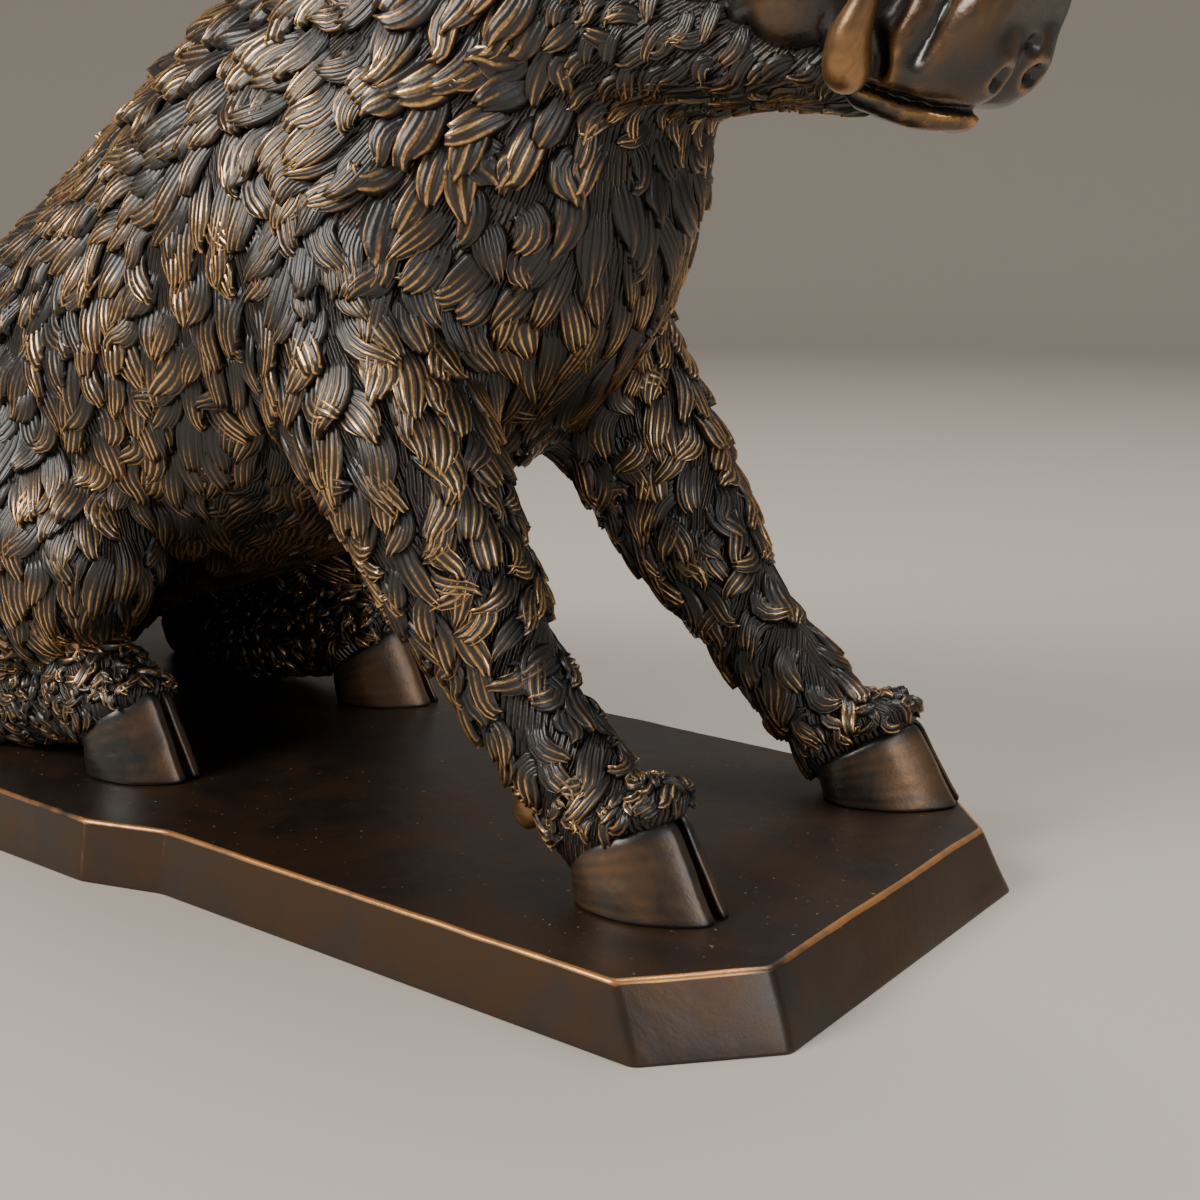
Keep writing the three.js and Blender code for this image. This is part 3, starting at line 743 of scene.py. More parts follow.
def convexity(points, faces, rounds=2):
    """How far each point stands out from the mean of its neighbours, along the normal, over the mean
    edge length, smoothed by averaging with the neighbours. Positive on edges, negative in hollows."""
    pairs = np.concatenate([np.stack([f, np.roll(f, -1, axis=1)], axis=-1).reshape(-1, 2) for f in faces])
    pairs = np.concatenate([pairs, pairs[:, ::-1]])
    count = np.bincount(pairs[:, 0], minlength=len(points))

    def mean(values):
        sums = [np.bincount(pairs[:, 0], v[pairs[:, 1]], len(points)) for v in values.T]
        return np.stack([total / np.maximum(count, 1) for total in sums], axis=1)

    normal = np.zeros((len(points), 3))
    for f in faces:
        across = np.cross(points[f[:, 2]] - points[f[:, 0]], points[f[:, -1]] - points[f[:, 1]])
        for corner in range(f.shape[1]):
            for axis in range(3):
                normal[:, axis] += np.bincount(f[:, corner], across[:, axis], len(points))
    normal = unit(normal)
    length = np.linalg.norm(points[pairs[:, 0]] - points[pairs[:, 1]], axis=1).mean()
    out = dot(points - mean(points), normal) / length
    for _ in range(rounds):
        out = 0.5 * out + 0.5 * mean(out)
    return out[:, 0]


# ---------------------------------------------------------------- where the hair lies


def hair_direction(p, normal):
    """The flow of the nearest limb, blended where limbs are about as near, swirled by wide noise,
    laid down on the surface."""
    values = np.stack([limb.value(p.astype(np.float32)) for limb in FORM], axis=1)
    weight = np.exp(-(values - values.min(axis=1, keepdims=True)) / 5)
    flows = np.stack([limb.flow for limb in FORM])
    flow = weight @ flows
    front = ramp(p[:, 0], 96, 140) * ramp(p[:, 2], 95, 120) * (1 - ramp(p[:, 2], 190, 225))
    flow = flow * (1 - front[:, None]) + np.array([-0.1, 0, -1]) * front[:, None]
    flow[:, 1] += 0.25 * np.sign(p[:, 1]) * ramp(np.abs(p[:, 1]), 0, 18) * ramp(normal[:, 2], 0.3, 0.9)
    flow = flow - dot(flow, normal) * normal
    turn = 0.75 * wobble(p, 46, 3) + 0.4 * wobble(p, 19, 5)
    return turned(unit(flow), normal, turn)


def turned(direction, normal, angle):
    """A direction in the surface turned about the normal."""
    angle = np.asarray(angle)[..., None]
    return direction * np.cos(angle) + np.cross(normal, direction) * np.sin(angle)


def region_weights(p, normal):
    """How much each kind of hair applies, from 0 to 1."""
    x, y, z = p.T
    lower_leg = ramp(x, 78, 96) * (1 - ramp(z, 104, 132))
    hind_foot = (1 - ramp(z, 50, 66)) * (1 - ramp(x, 30, 60)) * ramp(x, -100, -84)
    face = ramp(x, 136, 152) * ramp(z, 196, 208)
    mane = ramp(z, 205, 245) * (1 - ramp(x, 118, 140)) * ramp(normal[:, 2], 0.1, 0.6)
    chest = ramp(x, 112, 132) * (1 - ramp(np.abs(y), 14, 26)) * (1 - ramp(z, 190, 205)) * ramp(z, 96, 110)
    belly = ramp(-normal[:, 2], 0.35, 0.75) * (1 - lower_leg) * (1 - hind_foot)
    foot = np.maximum(hind_foot, 1 - ramp(over_coronet(p), 16, 20))
    return dict(leg=lower_leg, foot=foot, face=face, mane=mane, chest=chest, belly=belly)


# Lock length, width, height of the raised tip, depth of the grooves, how far it may turn and bend, and
# how far apart the locks stand.
COAT = dict(length=18.5, width=10.2, rise=2.5, groove=0.8, turn=0.3, bend=0.4, gap=1)
KINDS = dict(
    mane=dict(length=23, width=11, rise=4, groove=0.9, turn=0.25, bend=0.4, gap=1),
    belly=dict(length=17, width=10, rise=1.4, groove=0.6, turn=0.25, bend=0.4, gap=1),
    chest=dict(length=27, width=8.5, rise=1.3, groove=0.75, turn=0.12, bend=0.3, gap=1),
    leg=dict(length=17, width=8, rise=1.9, groove=0.95, turn=0.45, bend=0.7, gap=1.12),
    face=dict(length=11, width=5, rise=0.7, groove=0.7, turn=0.4, bend=0.6, gap=1.2),
    foot=dict(length=8.5, width=3.6, rise=1, groove=0.95, turn=0.7, bend=1, gap=1.1),
)


def coat_at(p, normal):
    """Each measure of the hair at each point: the body's coat, replaced by each kind in turn by its
    weight."""
    weights = region_weights(p, normal)
    return {
        key: blended([value] + [KINDS[kind][key] for kind in KINDS], [weights[kind] for kind in KINDS])
        for key, value in COAT.items()
    }


def blended(values, weights):
    """The first value, replaced by each of the others in turn by its weight."""
    out = np.full(len(weights[0]), float(values[0]))
    for value, weight in zip(values[1:], weights):
        out = out * (1 - weight) + value * weight
    return out


def over_coronet(p):
    """Height over the slanting line where the hair ends and a hoof begins, for points near a foot."""
    over = np.full(len(p), 60.0)
    for side in SIDES:
        for part, scale in FEET:
            x, y, turn = side[part]
            angle = math.radians(turn)
            ahead = ((p[:, 0] - x) * math.cos(angle) + (p[:, 1] - y) * math.sin(angle)) / scale
            heel, toe = CLAW["coronet"]
            low, high = CLAW["heights"][part]
            line = low + (high - low) * (ahead - heel) / (toe - heel)
            near = np.hypot(p[:, 0] - x, p[:, 1] - y) < 27
            near &= p[:, 2] < TOP + 45
            near &= ahead > -24
            over = np.where(near, np.minimum(over, p[:, 2] - TOP - line * scale), over)
    return over


def bareness(p):
    """From 0 under the hair to 1 on the muzzle in front of the cheeks, on their bulges and round the eyes."""
    x, y, z = p[:, 0], np.abs(p[:, 1]), p[:, 2]
    mirrored = np.stack([x, y, z], axis=1)
    above = ramp(x + 0.35 * y, 188, 196) * ramp(z, 225, 231)
    muzzle = np.maximum(ramp(x, 203, 209), above) * ramp(z, 188, 192)
    bulge = 1 - ramp(ball(mirrored, *BULGE), -0.5, 2.5)
    eye = 1 - ramp(np.linalg.norm(mirrored - EYE, axis=1), 7.5, 10.5)
    return np.maximum(np.maximum(muzzle, bulge), eye)


def is_bare(p):
    """Where no hair grows: bare skin, what lies on the plinth, and what is inside a hoof."""
    return (bareness(p) > 0.5) | (p[:, 2] < TOP + 3) | (over_coronet(p) < 6.5)


def near_pairs(p, reach):
    """All pairs of points closer than the reach: points are sorted into cells of that size, and each is
    compared with those in the 27 cells round its own."""
    cell = np.floor(p / reach).astype(np.int64)
    cell -= cell.min(axis=0) - 1
    size = cell.max(axis=0) + 2
    key = (cell[:, 0] * size[1] + cell[:, 1]) * size[2] + cell[:, 2]
    order = np.argsort(key, kind="stable")
    in_order = key[order]
    pairs = []
    for x, y, z in np.ndindex(3, 3, 3):
        wanted = key + ((x - 1) * size[1] + y - 1) * size[2] + z - 1
        low = np.searchsorted(in_order, wanted, "left")
        count = np.searchsorted(in_order, wanted, "right") - low
        first = np.repeat(np.arange(len(p)), count)
        step = np.arange(count.sum()) - np.repeat(np.cumsum(count) - count, count)
        second = order[np.repeat(low, count) + step]
        close = ((p[first] - p[second]) ** 2).sum(axis=1) < reach**2
        pairs.append(np.stack([first, second], axis=1)[close & (first != second)])
    return np.concatenate(pairs)


def scatter(points, reach):
    """Picks points that keep their reach from one another. Each point holds a random rank; in each round
    those that rank before all their near neighbours are kept, and their neighbours drop out."""
    rank = rng.permutation(len(points))
    pairs = near_pairs(points, reach.max())
    a, b = pairs.T
    gap = np.linalg.norm(points[a] - points[b], axis=1)
    a, b = pairs[gap < (reach[a] + reach[b]) / 2].T
    alive = np.ones(len(points), bool)
    kept = np.zeros(len(points), bool)
    while alive.any():
        beaten = np.zeros(len(points), bool)
        beaten[a[alive[b] & (rank[b] < rank[a])]] = True
        won = alive & ~beaten
        kept |= won
        alive &= ~won
        alive[a[won[b]]] = False
    return np.flatnonzero(kept)


# ---------------------------------------------------------------- locks of hair

STATIONS = np.array([0, 0.2, 0.39, 0.57, 0.73, 0.87, 0.975, 1.0])


def lock_path(root, normal, coat, turn, bend, hook):
    """The centre line of each lock: it marches from the root along the hair, turned by a constant, an S
    bend and a hook at the end, and is laid back on the surface at each station. Also the side direction."""
    centres, sides = [], []
    at, n = root, normal
    for i, t in enumerate(STATIONS):
        angle = turn + bend * math.sin(math.pi * (1.5 * t - 0.4)) + hook * ramp(t, 0.55, 1)
        ahead = turned(hair_direction(at, n), n, angle)
        centres.append(at)
        sides.append(np.cross(n, ahead))
        if i < len(STATIONS) - 1:
            at, n = settle(at + ahead * (coat["length"] * (STATIONS[i + 1] - t))[:, None], 1)
    return np.stack(centres, axis=1), np.stack(sides, axis=1)


def lock_rings(root, normal, coat, turn, bend, hook, strands):
    """Locks of hair, each a closed tube that lies along the surface.

    Across it lie the strands, each a valley and a crest; half width = W / 2 (0.72 + 0.28 sin) up to
    its widest place, and then a quarter cosine that stops at the tip's own bluntness. The height is
    rise climb(t) (1 - 0.7 a^2) (1 + tilt a) with a from -1 to 1 across; it climbs towards the tip and
    drops below the skin at the end. Each strand ends at its own share of the length."""
    count, stations = len(root), len(STATIONS)
    centres, sides = lock_path(root, normal, coat, turn, bend, hook)
    strand = np.arange(strands)
    across = np.append(-1 + (2 * strand[:, None] + [0, 1.1]).ravel() / strands, 1)
    crest = np.append(np.tile([0, 1], strands), 0)
    owner = np.append(np.repeat(strand, 2), strands - 1)
    point = rng.uniform(0.05, 0.3, (count, 1))
    reach = 1 - point * np.abs(across) ** 1.7 - 0.14 * rng.random((count, strands))[:, owner]
    reach = reach * (1 - 0.045 * (1 - crest))
    t = STATIONS[None, :, None]
    widest = rng.uniform(0.45, 0.7, (count, 1, 1))
    blunt = rng.uniform(1.12, 1.45, (count, 1, 1))
    grow = 0.72 + 0.28 * np.sin(np.pi / 2 * np.minimum(t / widest, 1))
    taper = np.cos(np.pi / 2 * np.maximum(t - widest, 0) / (blunt - widest))
    width = coat["width"][:, None, None] / 2 * grow * taper
    # A strand's own station lies at its share of the way along the centre line.
    share = t * reach[:, None, :]
    position = np.interp(share.ravel(), STATIONS, np.arange(stations)).reshape(share.shape)
    lower = np.minimum(position.astype(int), stations - 2)
    f = (position - lower)[..., None]
    rows = np.arange(count)[:, None, None]
    centre = centres[rows, lower] * (1 - f) + centres[rows, lower + 1] * f
    side = unit(sides[rows, lower] * (1 - f) + sides[rows, lower + 1] * f)
    points, up = settle(centre + side * (across * width)[..., None], 1)
    tilt = rng.uniform(-0.55, 0.55, (count, 1, 1))
    dome = (1 - 0.7 * across**2) * (1 + tilt * across)
    climb = ramp(t, 0.05, 0.85)
    drop = np.where(t > 0.99, 0.0, 1.0)
    emerge = ramp(t, -0.05, 0.35)
    height = coat["rise"][:, None, None] * dome * climb
    groove = coat["groove"][:, None, None] * (crest - 0.5) * (0.4 + 0.6 * emerge)
    sunk = 0.8 * (1 - drop) + 0.9 * (1 - emerge)
    points = points + up * ((height + groove + 0.5) * drop - sunk)[..., None]
    under, down = settle(centres, 1)
    under = (under - down * 2.2)[:, :, None]
    rings = np.concatenate([points, under], axis=2)
    rings[..., 2] = np.maximum(rings[..., 2], TOP - 0.8)
    none = np.zeros((count, stations, 1))
    shape = points.shape[:-1]
    ridge = np.concatenate([np.broadcast_to(crest * drop * emerge, shape), none], axis=2)
    lift = np.concatenate([np.broadcast_to(climb * drop * dome.clip(0, 1.2), shape), none], axis=2)
    u = np.append(across * strands / 2, 0)[None, None, :]
    uv = np.stack(np.broadcast_arrays(u, t * coat["length"][:, None, None] / 10), axis=-1)
    return rings, ridge, lift, uv


def hair_piece(name, roots, normals, material, strands=5, curl=1):
    """One piece of the coat from the roots of its locks; curl is how hard their tips hook round."""
    coat = coat_at(roots, normals)
    count = len(roots)
    coat["length"] = coat["length"] * rng.uniform(0.8, 1.3, count)
    coat["width"] = coat["width"] * rng.uniform(0.85, 1.2, count)
    coat["rise"] = coat["rise"] * rng.uniform(0.65, 1.3, count)
    turn = coat["turn"] * rng.normal(0, 1, count)
    bend = coat["bend"] * rng.normal(0, 1, count)
    hook = curl * (0.9 * wobble(roots, 24, 9) + rng.normal(0, 0.5, count))
    rings, ridge, lift, uv = lock_rings(roots, normals, coat, turn, bend, hook, strands)
    count, stations, ring, _ = rings.shape
    points = tube_points(rings)
    rub = np.clip(0.5 + 0.5 * wobble(roots, 22, 13) + rng.normal(0, 0.22, count), 0, 1)
    # ridge and rise also carry painted shade: the hair's colour is darkened where they are low, in the
    # grooves and at the sunk roots.
    attributes = {
        "ridge": tube_points(ridge[..., None])[..., 0],
        "rise": tube_points(lift[..., None])[..., 0],
        "rub": np.broadcast_to(rub[:, None], points.shape[:2]),
    }
    return link_mesh(
        name,
        points,
        tube_faces(count, stations, ring),
        {key: value.ravel() for key, value in attributes.items()},
        tube_points(uv),
        material,
    )


def nearest(points, others):
    """For each point, the number of the nearest of the others, in blocks that fit in memory."""
    blocks = np.array_split(points, max(1, len(points) // 2000))
    square = (others**2).sum(axis=1)
    return np.concatenate([np.argmin(square - 2 * block @ others.T, axis=1) for block in blocks])


def engraved_lie(points, quads, roots, normals):
    """UV of the skin under the hair: within the reach of each root, strands' widths across that root's
    hair and centimetres along it."""
    ahead = hair_direction(roots, normals)
    side = np.cross(normals, ahead)
    own = nearest(points[quads].mean(axis=1), roots)
    away = points[quads] - roots[own][:, None]
    u = (away * side[own][:, None]).sum(axis=-1) / 1.7
    v = (away * ahead[own][:, None]).sum(axis=-1) / 10
    return np.stack([u, v], axis=-1)


# Strands in a lock and how hard its tip hooks round, where they aren't 5 and 1.
LOOK = dict(hair_right_foreleg=(4, 1.5), hair_left_foreleg=(4, 1.5), hair_head=(3, 2))


def add_hair(skin_points, material):
    """Scatters the roots over the skin and shares them out to pieces by where they lie. Returns the
    pieces, the roots and the normals there."""
    normals = unit(FIELD.slope(skin_points))
    dressed = ~is_bare(skin_points)
    p, n = skin_points[dressed], normals[dressed]
    coat = coat_at(p, n)
    roots = scatter(p, (0.16 * coat["length"] + 0.39 * coat["width"]) * coat["gap"])
    p, n = settle(p[roots])
    on_leg = (p[:, 2] < 118) & (p[:, 0] > 74)
    on_foot = ((p[:, 2] < TOP + 44) & (p[:, 0] < 20) & (p[:, 0] > -95)) | (over_coronet(p) < 18)
    pieces = {
        "hair_right_foreleg": on_leg & ~on_foot & (p[:, 1] < 0),
        "hair_left_foreleg": on_leg & ~on_foot & (p[:, 1] >= 0),
        "hair_head": ~on_leg & (p[:, 0] > 104) & (p[:, 2] > 190),
        "hair_neck": ~on_leg & (p[:, 0] > 20) & ~((p[:, 0] > 104) & (p[:, 2] > 190)) & (p[:, 2] > 150),
        "hair_chest": ~on_leg & (p[:, 0] > 20) & (p[:, 2] <= 150),
        "hair_flanks": ~on_foot & (p[:, 0] <= 20) & (p[:, 0] > -60),
        "hair_rump": ~on_foot & (p[:, 0] <= -60),
    }
    made = [hair_piece(name, p[at], n[at], material, *LOOK.get(name, (5, 1))) for name, at in pieces.items()]
    made.append(hair_piece("hair_feet", p[on_foot], n[on_foot], material, 2, 3))
    return made, p, n


# ---------------------------------------------------------------- hooves

def claw_piece(name, foot, part, scale, inner, material):
    """One claw: rings round a D-shaped outline from the sole up to a slanting coronet.

    With share from 0 at the heel to 1 at the toe, the wall's half width is a quarter of an oval ahead of
    and behind its widest place at 0.38; the inner face lies off the middle by a cleft that opens towards
    the toe. Heel and toe move back as the height grows; the wall has shallow growth rings."""
    x, y, turn = foot
    around = np.linspace(0, 2 * np.pi, 72, endpoint=False)
    up = np.array([0, 0, 0.015, 0.05, 0.1, *np.linspace(0.18, 0.9, 10), 0.96, 1, 1])
    inset = np.array([0.6, 0.1, 0.03, 0] + [0] * 10 + [0.01, 0.04, 0.12, 0.6])
    share = 0.5 - 0.5 * np.cos(around)
    widest = 0.38
    oval = np.where(share > widest, (share - widest) / (1 - widest), (widest - share) / widest)
    round_off = np.where(share > widest, (1 - oval**1.7).clip(0) ** 0.72, (1 - oval**2.6).clip(0) ** 0.5)
    wall = 0.42 + 1.5 * round_off
    cleft = 0.06 + 0.3 * np.sin(np.pi * share.clip(0, 1) ** 0.9 * 0.82)
    across = np.where(around < np.pi, wall, cleft)
    u, a, share = up[:, None], across[None, :], share[None, :]
    a = np.where(around < np.pi, a, a * (1 - 0.4 * u))
    heel = CLAW["sole"][0] + (CLAW["coronet"][0] - CLAW["sole"][0]) * u
    toe = CLAW["sole"][1] + (CLAW["coronet"][1] - CLAW["sole"][1]) * u**0.9
    low, high = CLAW["heights"][part]
    height = (low + (high - low) * share + 1.5 * np.sin(np.pi * share)) * u
    swell = 1 - 0.14 * u**1.5 + 0.012 * np.sin(u * 34 + 2 * share)
    along = heel + (toe - heel) * share
    middle = (heel + toe) / 2
    along = middle + (along - middle) * (1 - inset[:, None])
    side = CLAW["half"] * a * np.where(around < np.pi, swell, 1)
    side = side + (CLAW["half"] * 0.95 - side) * inset[:, None]
    points = np.stack([along, -inner * side, height], axis=-1) * scale
    bumps = np.stack([wobble(points + 31 * inner, 7, 21 + k) for k in range(3)], axis=-1)
    points += 0.3 * bumps * (u > 0)[..., None]
    angle = math.radians(turn)
    c, s = math.cos(angle), math.sin(angle)
    spin = np.array([[c, s, 0], [-s, c, 0], [0, 0, 1]])
    points = points @ spin + np.array([x, y, TOP])
    points[..., 2] = np.maximum(points[..., 2], TOP - 0.3)
    if inner > 0:
        points = points[:, ::-1]
    faces = tube_faces(1, len(up), len(around))
    flat = tube_points(points[None])[0]
    return link_mesh(name, flat, faces, {"edge": 4 * convexity(flat, faces, 2)}, material=material)


def add_hooves(material):
    made = []
    for side in SIDES:
        for part, scale in FEET:
            for inner in (-1, 1):
                which = "outer" if inner * side["s"] < 0 else "inner"
                name = f"{side['name']}_{part}_hoof_{which}"
                made.append(claw_piece(name, side[part], part, scale, inner, material))
    return made


def horn_piece(name, centres, radii, material, ring=20, stations=40, flat=1.0):
    """A tube round a smooth curve through the centres, its radius blended between those given."""
    line = spline([(*c, r) for c, r in zip(centres, radii)], stations - 1)
    path, radius = line[:, :3], line[:, 3]
    ahead = unit(np.gradient(path, axis=0))
    across = unit(np.cross(ahead, [0.3, 1, 0.1]))
    other = np.cross(ahead, across)
    around = np.linspace(0, 2 * np.pi, ring, endpoint=False)
    points = (
        path[:, None]
        + radius[:, None, None] * np.cos(around)[None, :, None] * across[:, None]
        + flat * radius[:, None, None] * np.sin(around)[None, :, None] * other[:, None]
    )
    faces = tube_faces(1, stations, ring)
    points = tube_points(points[None])[0]
    edge = 0.25 + 2 * convexity(points, faces)
    return link_mesh(name, points, faces, {"edge": edge}, material=material)


# Centre lines of the left side's tusks, with a radius at each point.
TUSK = [
    (209, 17, 217, 4.4),
    (212.5, 23, 217.3, 5.5),
    (214.6, 26, 222.5, 5),
    (218.8, 27.5, 230.5, 3),
    (221.5, 27.2, 240, 2.3),
    (221.5, 25.5, 252, 0.6),
]
UPPER_TUSK = [(196, 14, 227, 3), (199, 19, 228, 3.4), (203, 22, 233, 3), (205, 21.5, 240, 0.5)]


def add_tusks(material):
    made = []
    for side in SIDES:
        for name, points in (("tusk", TUSK), ("upper_tusk", UPPER_TUSK)):
            path = np.array(points)
            centres = path[:, :3] * [1, side["s"], 1]
            made.append(horn_piece(f"{side['name']}_{name}", centres, path[:, 3], material))
    return made


def add_dewclaws(material):
    made = []
    for side in SIDES:
        x, y, _ = side["fore"]
        for k in (-1, 1):
            path = [(x - 17, y + k * 6, TOP + 30), (x - 26, y + k * 7.5, TOP + 21)]
            path.append((x - 30, y + k * 8, TOP + 16.5))
            name = f"{side['name']}_dewclaw_{'ab'[k > 0]}"
            made.append(horn_piece(name, path, [4, 5.8, 3.6], material, 16, 16, 0.8))
    return made


# ---------------------------------------------------------------- head

SNOUT = dict(centre=np.array([244, -0.8, 225.5]), radius=20.5, lean=0.5, roll=0.13)


def to_snout(p):
    """Places in the snout's own frame: x out of the disc, y across, z up it."""
    c, s = math.cos(SNOUT["lean"]), math.sin(SNOUT["lean"])
    q = p - SNOUT["centre"]
    out, up = q[:, 0] * c - q[:, 2] * s, q[:, 0] * s + q[:, 2] * c
    c, s = math.cos(SNOUT["roll"]), math.sin(SNOUT["roll"])
    return np.stack([out, q[:, 1] * c + up * s, up * c - q[:, 1] * s], axis=1)


def hollow(value, cutter, reach):
    """Takes one form out of another with a rounded edge."""
    return -melt(-value, cutter, reach)


def creased(value, line, width, depth):
    """A groove with a rounded floor along the surface where line is 0."""
    return value + depth * np.exp(-((line / width) ** 2))


def fold(reach, *points):
    """A fold of the head and how far it melts into the rest; points are x, y, z and radius, mirrored."""
    return Limb(points, 10, 1, (0, 0, 1)), reach


# The fold that runs round behind the snout's disc.
DISC_EDGE = [
    (228, 15, 214, 3),
    (234, 16.5, 221, 3.4),
    (238, 15.5, 231, 3.4),
    (240, 9, 241, 3),
    (239, 0, 244, 2.6),
]

FOLDS = [
    fold(5, (198, 13, 226, 8), (216, 13, 220, 7.5), (231, 10.5, 215, 6.8)),
    fold(2, (198, 10, 219, 6), (212, 10.5, 213, 4.8), (223, 8.5, 208.4, 4.2), (231, 0, 207.6, 3.6)),
    fold(4, *DISC_EDGE),
    fold(7, (219, 16, 218, 3), (226, 16.5, 226, 4), (229, 14, 236, 3.6), (230, 8, 243, 3), (228, 0, 246, 2)),
    fold(7, (210, 17, 226, 3), (217, 17, 235, 3.4), (218, 13, 244, 3), (215, 0, 251, 2)),
]


def head_value(p):
    """The body's value at the head, with cheek bulges, lips, folds and the snout's disc melted in, and
    the mouth, nostrils, tusk pockets and eye sockets cut."""
    p = np.asarray(p, float)
    y = np.abs(p[:, 1])
    mirrored = np.stack([p[:, 0], y, p[:, 2]], axis=1)
    value = body_value(p).astype(float)
    value = melt(value, ball(mirrored, *BULGE), 3)
    for roll, reach in FOLDS:
        value = melt(value, roll.value(mirrored.astype(np.float32)).astype(float), reach)
    value = hollow(value, ball(mirrored, (218, 21, 219), (3, 4, 6)), 3)
    q = to_snout(p)
    value = creased(value, q[:, 0] + 11.5, 2, 1.1 * ramp(q[:, 2], -16, -8))
    radius = SNOUT["radius"]
    out = np.linalg.norm(q[:, 1:] / [1.02, 1], axis=1)
    puck = np.hypot(np.maximum(out - (radius - 7), 0), q[:, 0] + 4.2) - 5.6
    value = melt(value, puck, 2.6)
    lobe = np.stack([q[:, 0], np.abs(q[:, 1]), q[:, 2]], axis=1)
    value = melt(value, ball(lobe, (-3.5, 8.6, -8.6), (8.2, 9.4, 10)), 3)
    value = hollow(value, ball(lobe, (5, 7.7, -10), (4.4, 3.9, 2.9)), 1.8)
    value = hollow(value, ball(q, (3, 3.2, -2.9), (2.6, 2.4, 1.8)), 1.6)
    between = np.abs(q[:, 1]) + 0.12 * (q[:, 2] + 20).clip(0)
    value = creased(value, between, 2, 1.5 * (1 - ramp(q[:, 2], -12, -2)) * ramp(q[:, 0], -6, 0))
    mouth = np.interp(p[:, 0], [204, 213, 222, 229, 236], [218.5, 214, 210.6, 208.9, 208])
    value = creased(value, p[:, 2] - mouth, 1, 2 * ramp(p[:, 0], 202, 212) * (1 - ramp(p[:, 0], 233, 237)))
    value = hollow(value, ball(mirrored, EYE + [0, 2, 0], (8.5, 6.5, 6.5)), 3)
    lid = np.abs(ball(mirrored, EYE, (9, 6.2, 6))) - 1.2
    opening = ball(mirrored, EYE + [1, 6, -0.5], (7, 6, 3))
    return melt(value, np.maximum(lid, -opening), 1.5)


# How deep the bare skin lies under the hair, and the body under the bare skin.
SUNK = 4


def add_head(material):
    """The bare muzzle and face, finer than the rest of the skin; it dives under the hair at its border."""
    points, quads = skin(head_value, (140, -40, 196), (268, 40, 300), 1.1)
    bare = bareness(points)
    quads = quads[(bare[quads].max(axis=1) > 0.02) & (points[quads][..., 0].min(axis=1) > 142)]
    used = np.unique(quads)
    number = np.full(len(points), -1)
    number[used] = np.arange(len(used))
    p, quads = points[used], number[quads]
    edge = 5 * convexity(p, [quads], 3)
    p = p - unit(FIELD.slope(p)) * (SUNK * (1 - bare[used]))[:, None]
    return link_mesh("head", p, [quads], {"edge": edge}, material=material)


def add_eyes(material):
    made = []
    for side in SIDES:
        circle = np.linspace(0, 2 * np.pi, 24, endpoint=False)
        around, down = np.meshgrid(circle, np.linspace(0.15, np.pi - 0.15, 14))
        around, down = around.T[None], down.T[None]
        out = np.sin(down)
        sphere = np.stack([out * np.cos(around), out * np.sin(around), np.cos(down)], axis=-1)
        rings = 5.6 * sphere.transpose(0, 2, 1, 3)[:, ::-1] + EYE * [1, side["s"], 1]
        faces = tube_faces(1, rings.shape[1], rings.shape[2])
        flat = tube_points(rings)[0]
        edge = np.full(len(flat), 0.3)
        made.append(link_mesh(f"{side['name']}_eye", flat, faces, {"edge": edge}, material=material))
    return made


# Ear: root at the crown, tip, and half widths along it; the hollow opens forwards and outwards.
EAR = dict(root=(104, 24, 274), tip=(82, 46, 314), half=(9, 14.5, 15, 12, 7, 1.2), thick=2.4, cup=0.55)


def ear_piece(side, material):
    """A leaf carried from root to tip: half width blended along it, bent across into a cup, with the back
    skin a thickness behind the front, closed round the rim."""
    s = side["s"]
    root, tip = (np.array([x, s * y, z], float) for x, y, z in (EAR["root"], EAR["tip"]))
    up = unit(tip - root)
    out = unit(np.array([0.72, s * 0.62, -0.1]) - dot(np.array([0.72, s * 0.62, -0.1]), up) * up)
    across = np.cross(up, out)
    t = np.linspace(0, 1, 26)[:, None]
    half = np.interp(t, np.linspace(0, 1, len(EAR["half"])), EAR["half"])
    around = np.linspace(0, 2 * np.pi, 44, endpoint=False)[None, :]
    a = np.cos(around)
    cup = EAR["cup"] * (1 - a**2)
    depth = np.where(np.sin(around) > 0, -cup * ramp(t, 0.02, 0.3), -0.1 - cup)
    depth = depth * half * 0.8 - EAR["thick"] * (np.sin(around) < 0) * np.abs(np.sin(around)) ** 0.5
    lean = 7 * t**2 - 3 * t
    fold = 0.5 * np.sin(5 * a * np.pi / 2 + 3 * t) * (np.sin(around) > 0) * ramp(t, 0.1, 0.5)
    length = np.linalg.norm(tip - root)
    points = (
        root
        + (t * length)[..., None] * up
        + (a * half)[..., None] * across
        + (depth + lean + fold)[..., None] * out
    )
    faces = tube_faces(1, points.shape[0], points.shape[1])
    flat = tube_points(points[None])[0]
    if s > 0:
        faces = [f[:, ::-1] for f in faces]
    edge = 2.5 * convexity(flat, faces)
    return link_mesh(f"{side['name']}_ear", flat, faces, {"edge": edge}, material=material)


TAIL = [(-176, 0, 124), (-200, -4, 106), (-206, -14, 82), (-200, -28, 60)]


# ---------------------------------------------------------------- plinth


def plinth_outline(rise):
    """The slab's corners at a share of its height, counter-clockwise from the front right, in millimetres.
    The foot spreads 8 mm at the ends and 3 mm at the sides."""
    out_end, out_side = 8 * (1 - rise), 3 * (1 - rise)
    end, side = 219 + out_end, 84 + out_side
    wide = side + 8
    return np.array(
        [
            [end, -side + 27],
            [end, side - 27],
            [end - 25, side],
            [-52, side],
            [-52 - 26, wide],
            [-end + 25, wide],
            [-end, wide - 27],
            [-end, -wide + 27],
            [-end + 25, -wide],
            [38 - 26, -wide],
            [38, -side],
            [end - 25, -side],
        ]
    )


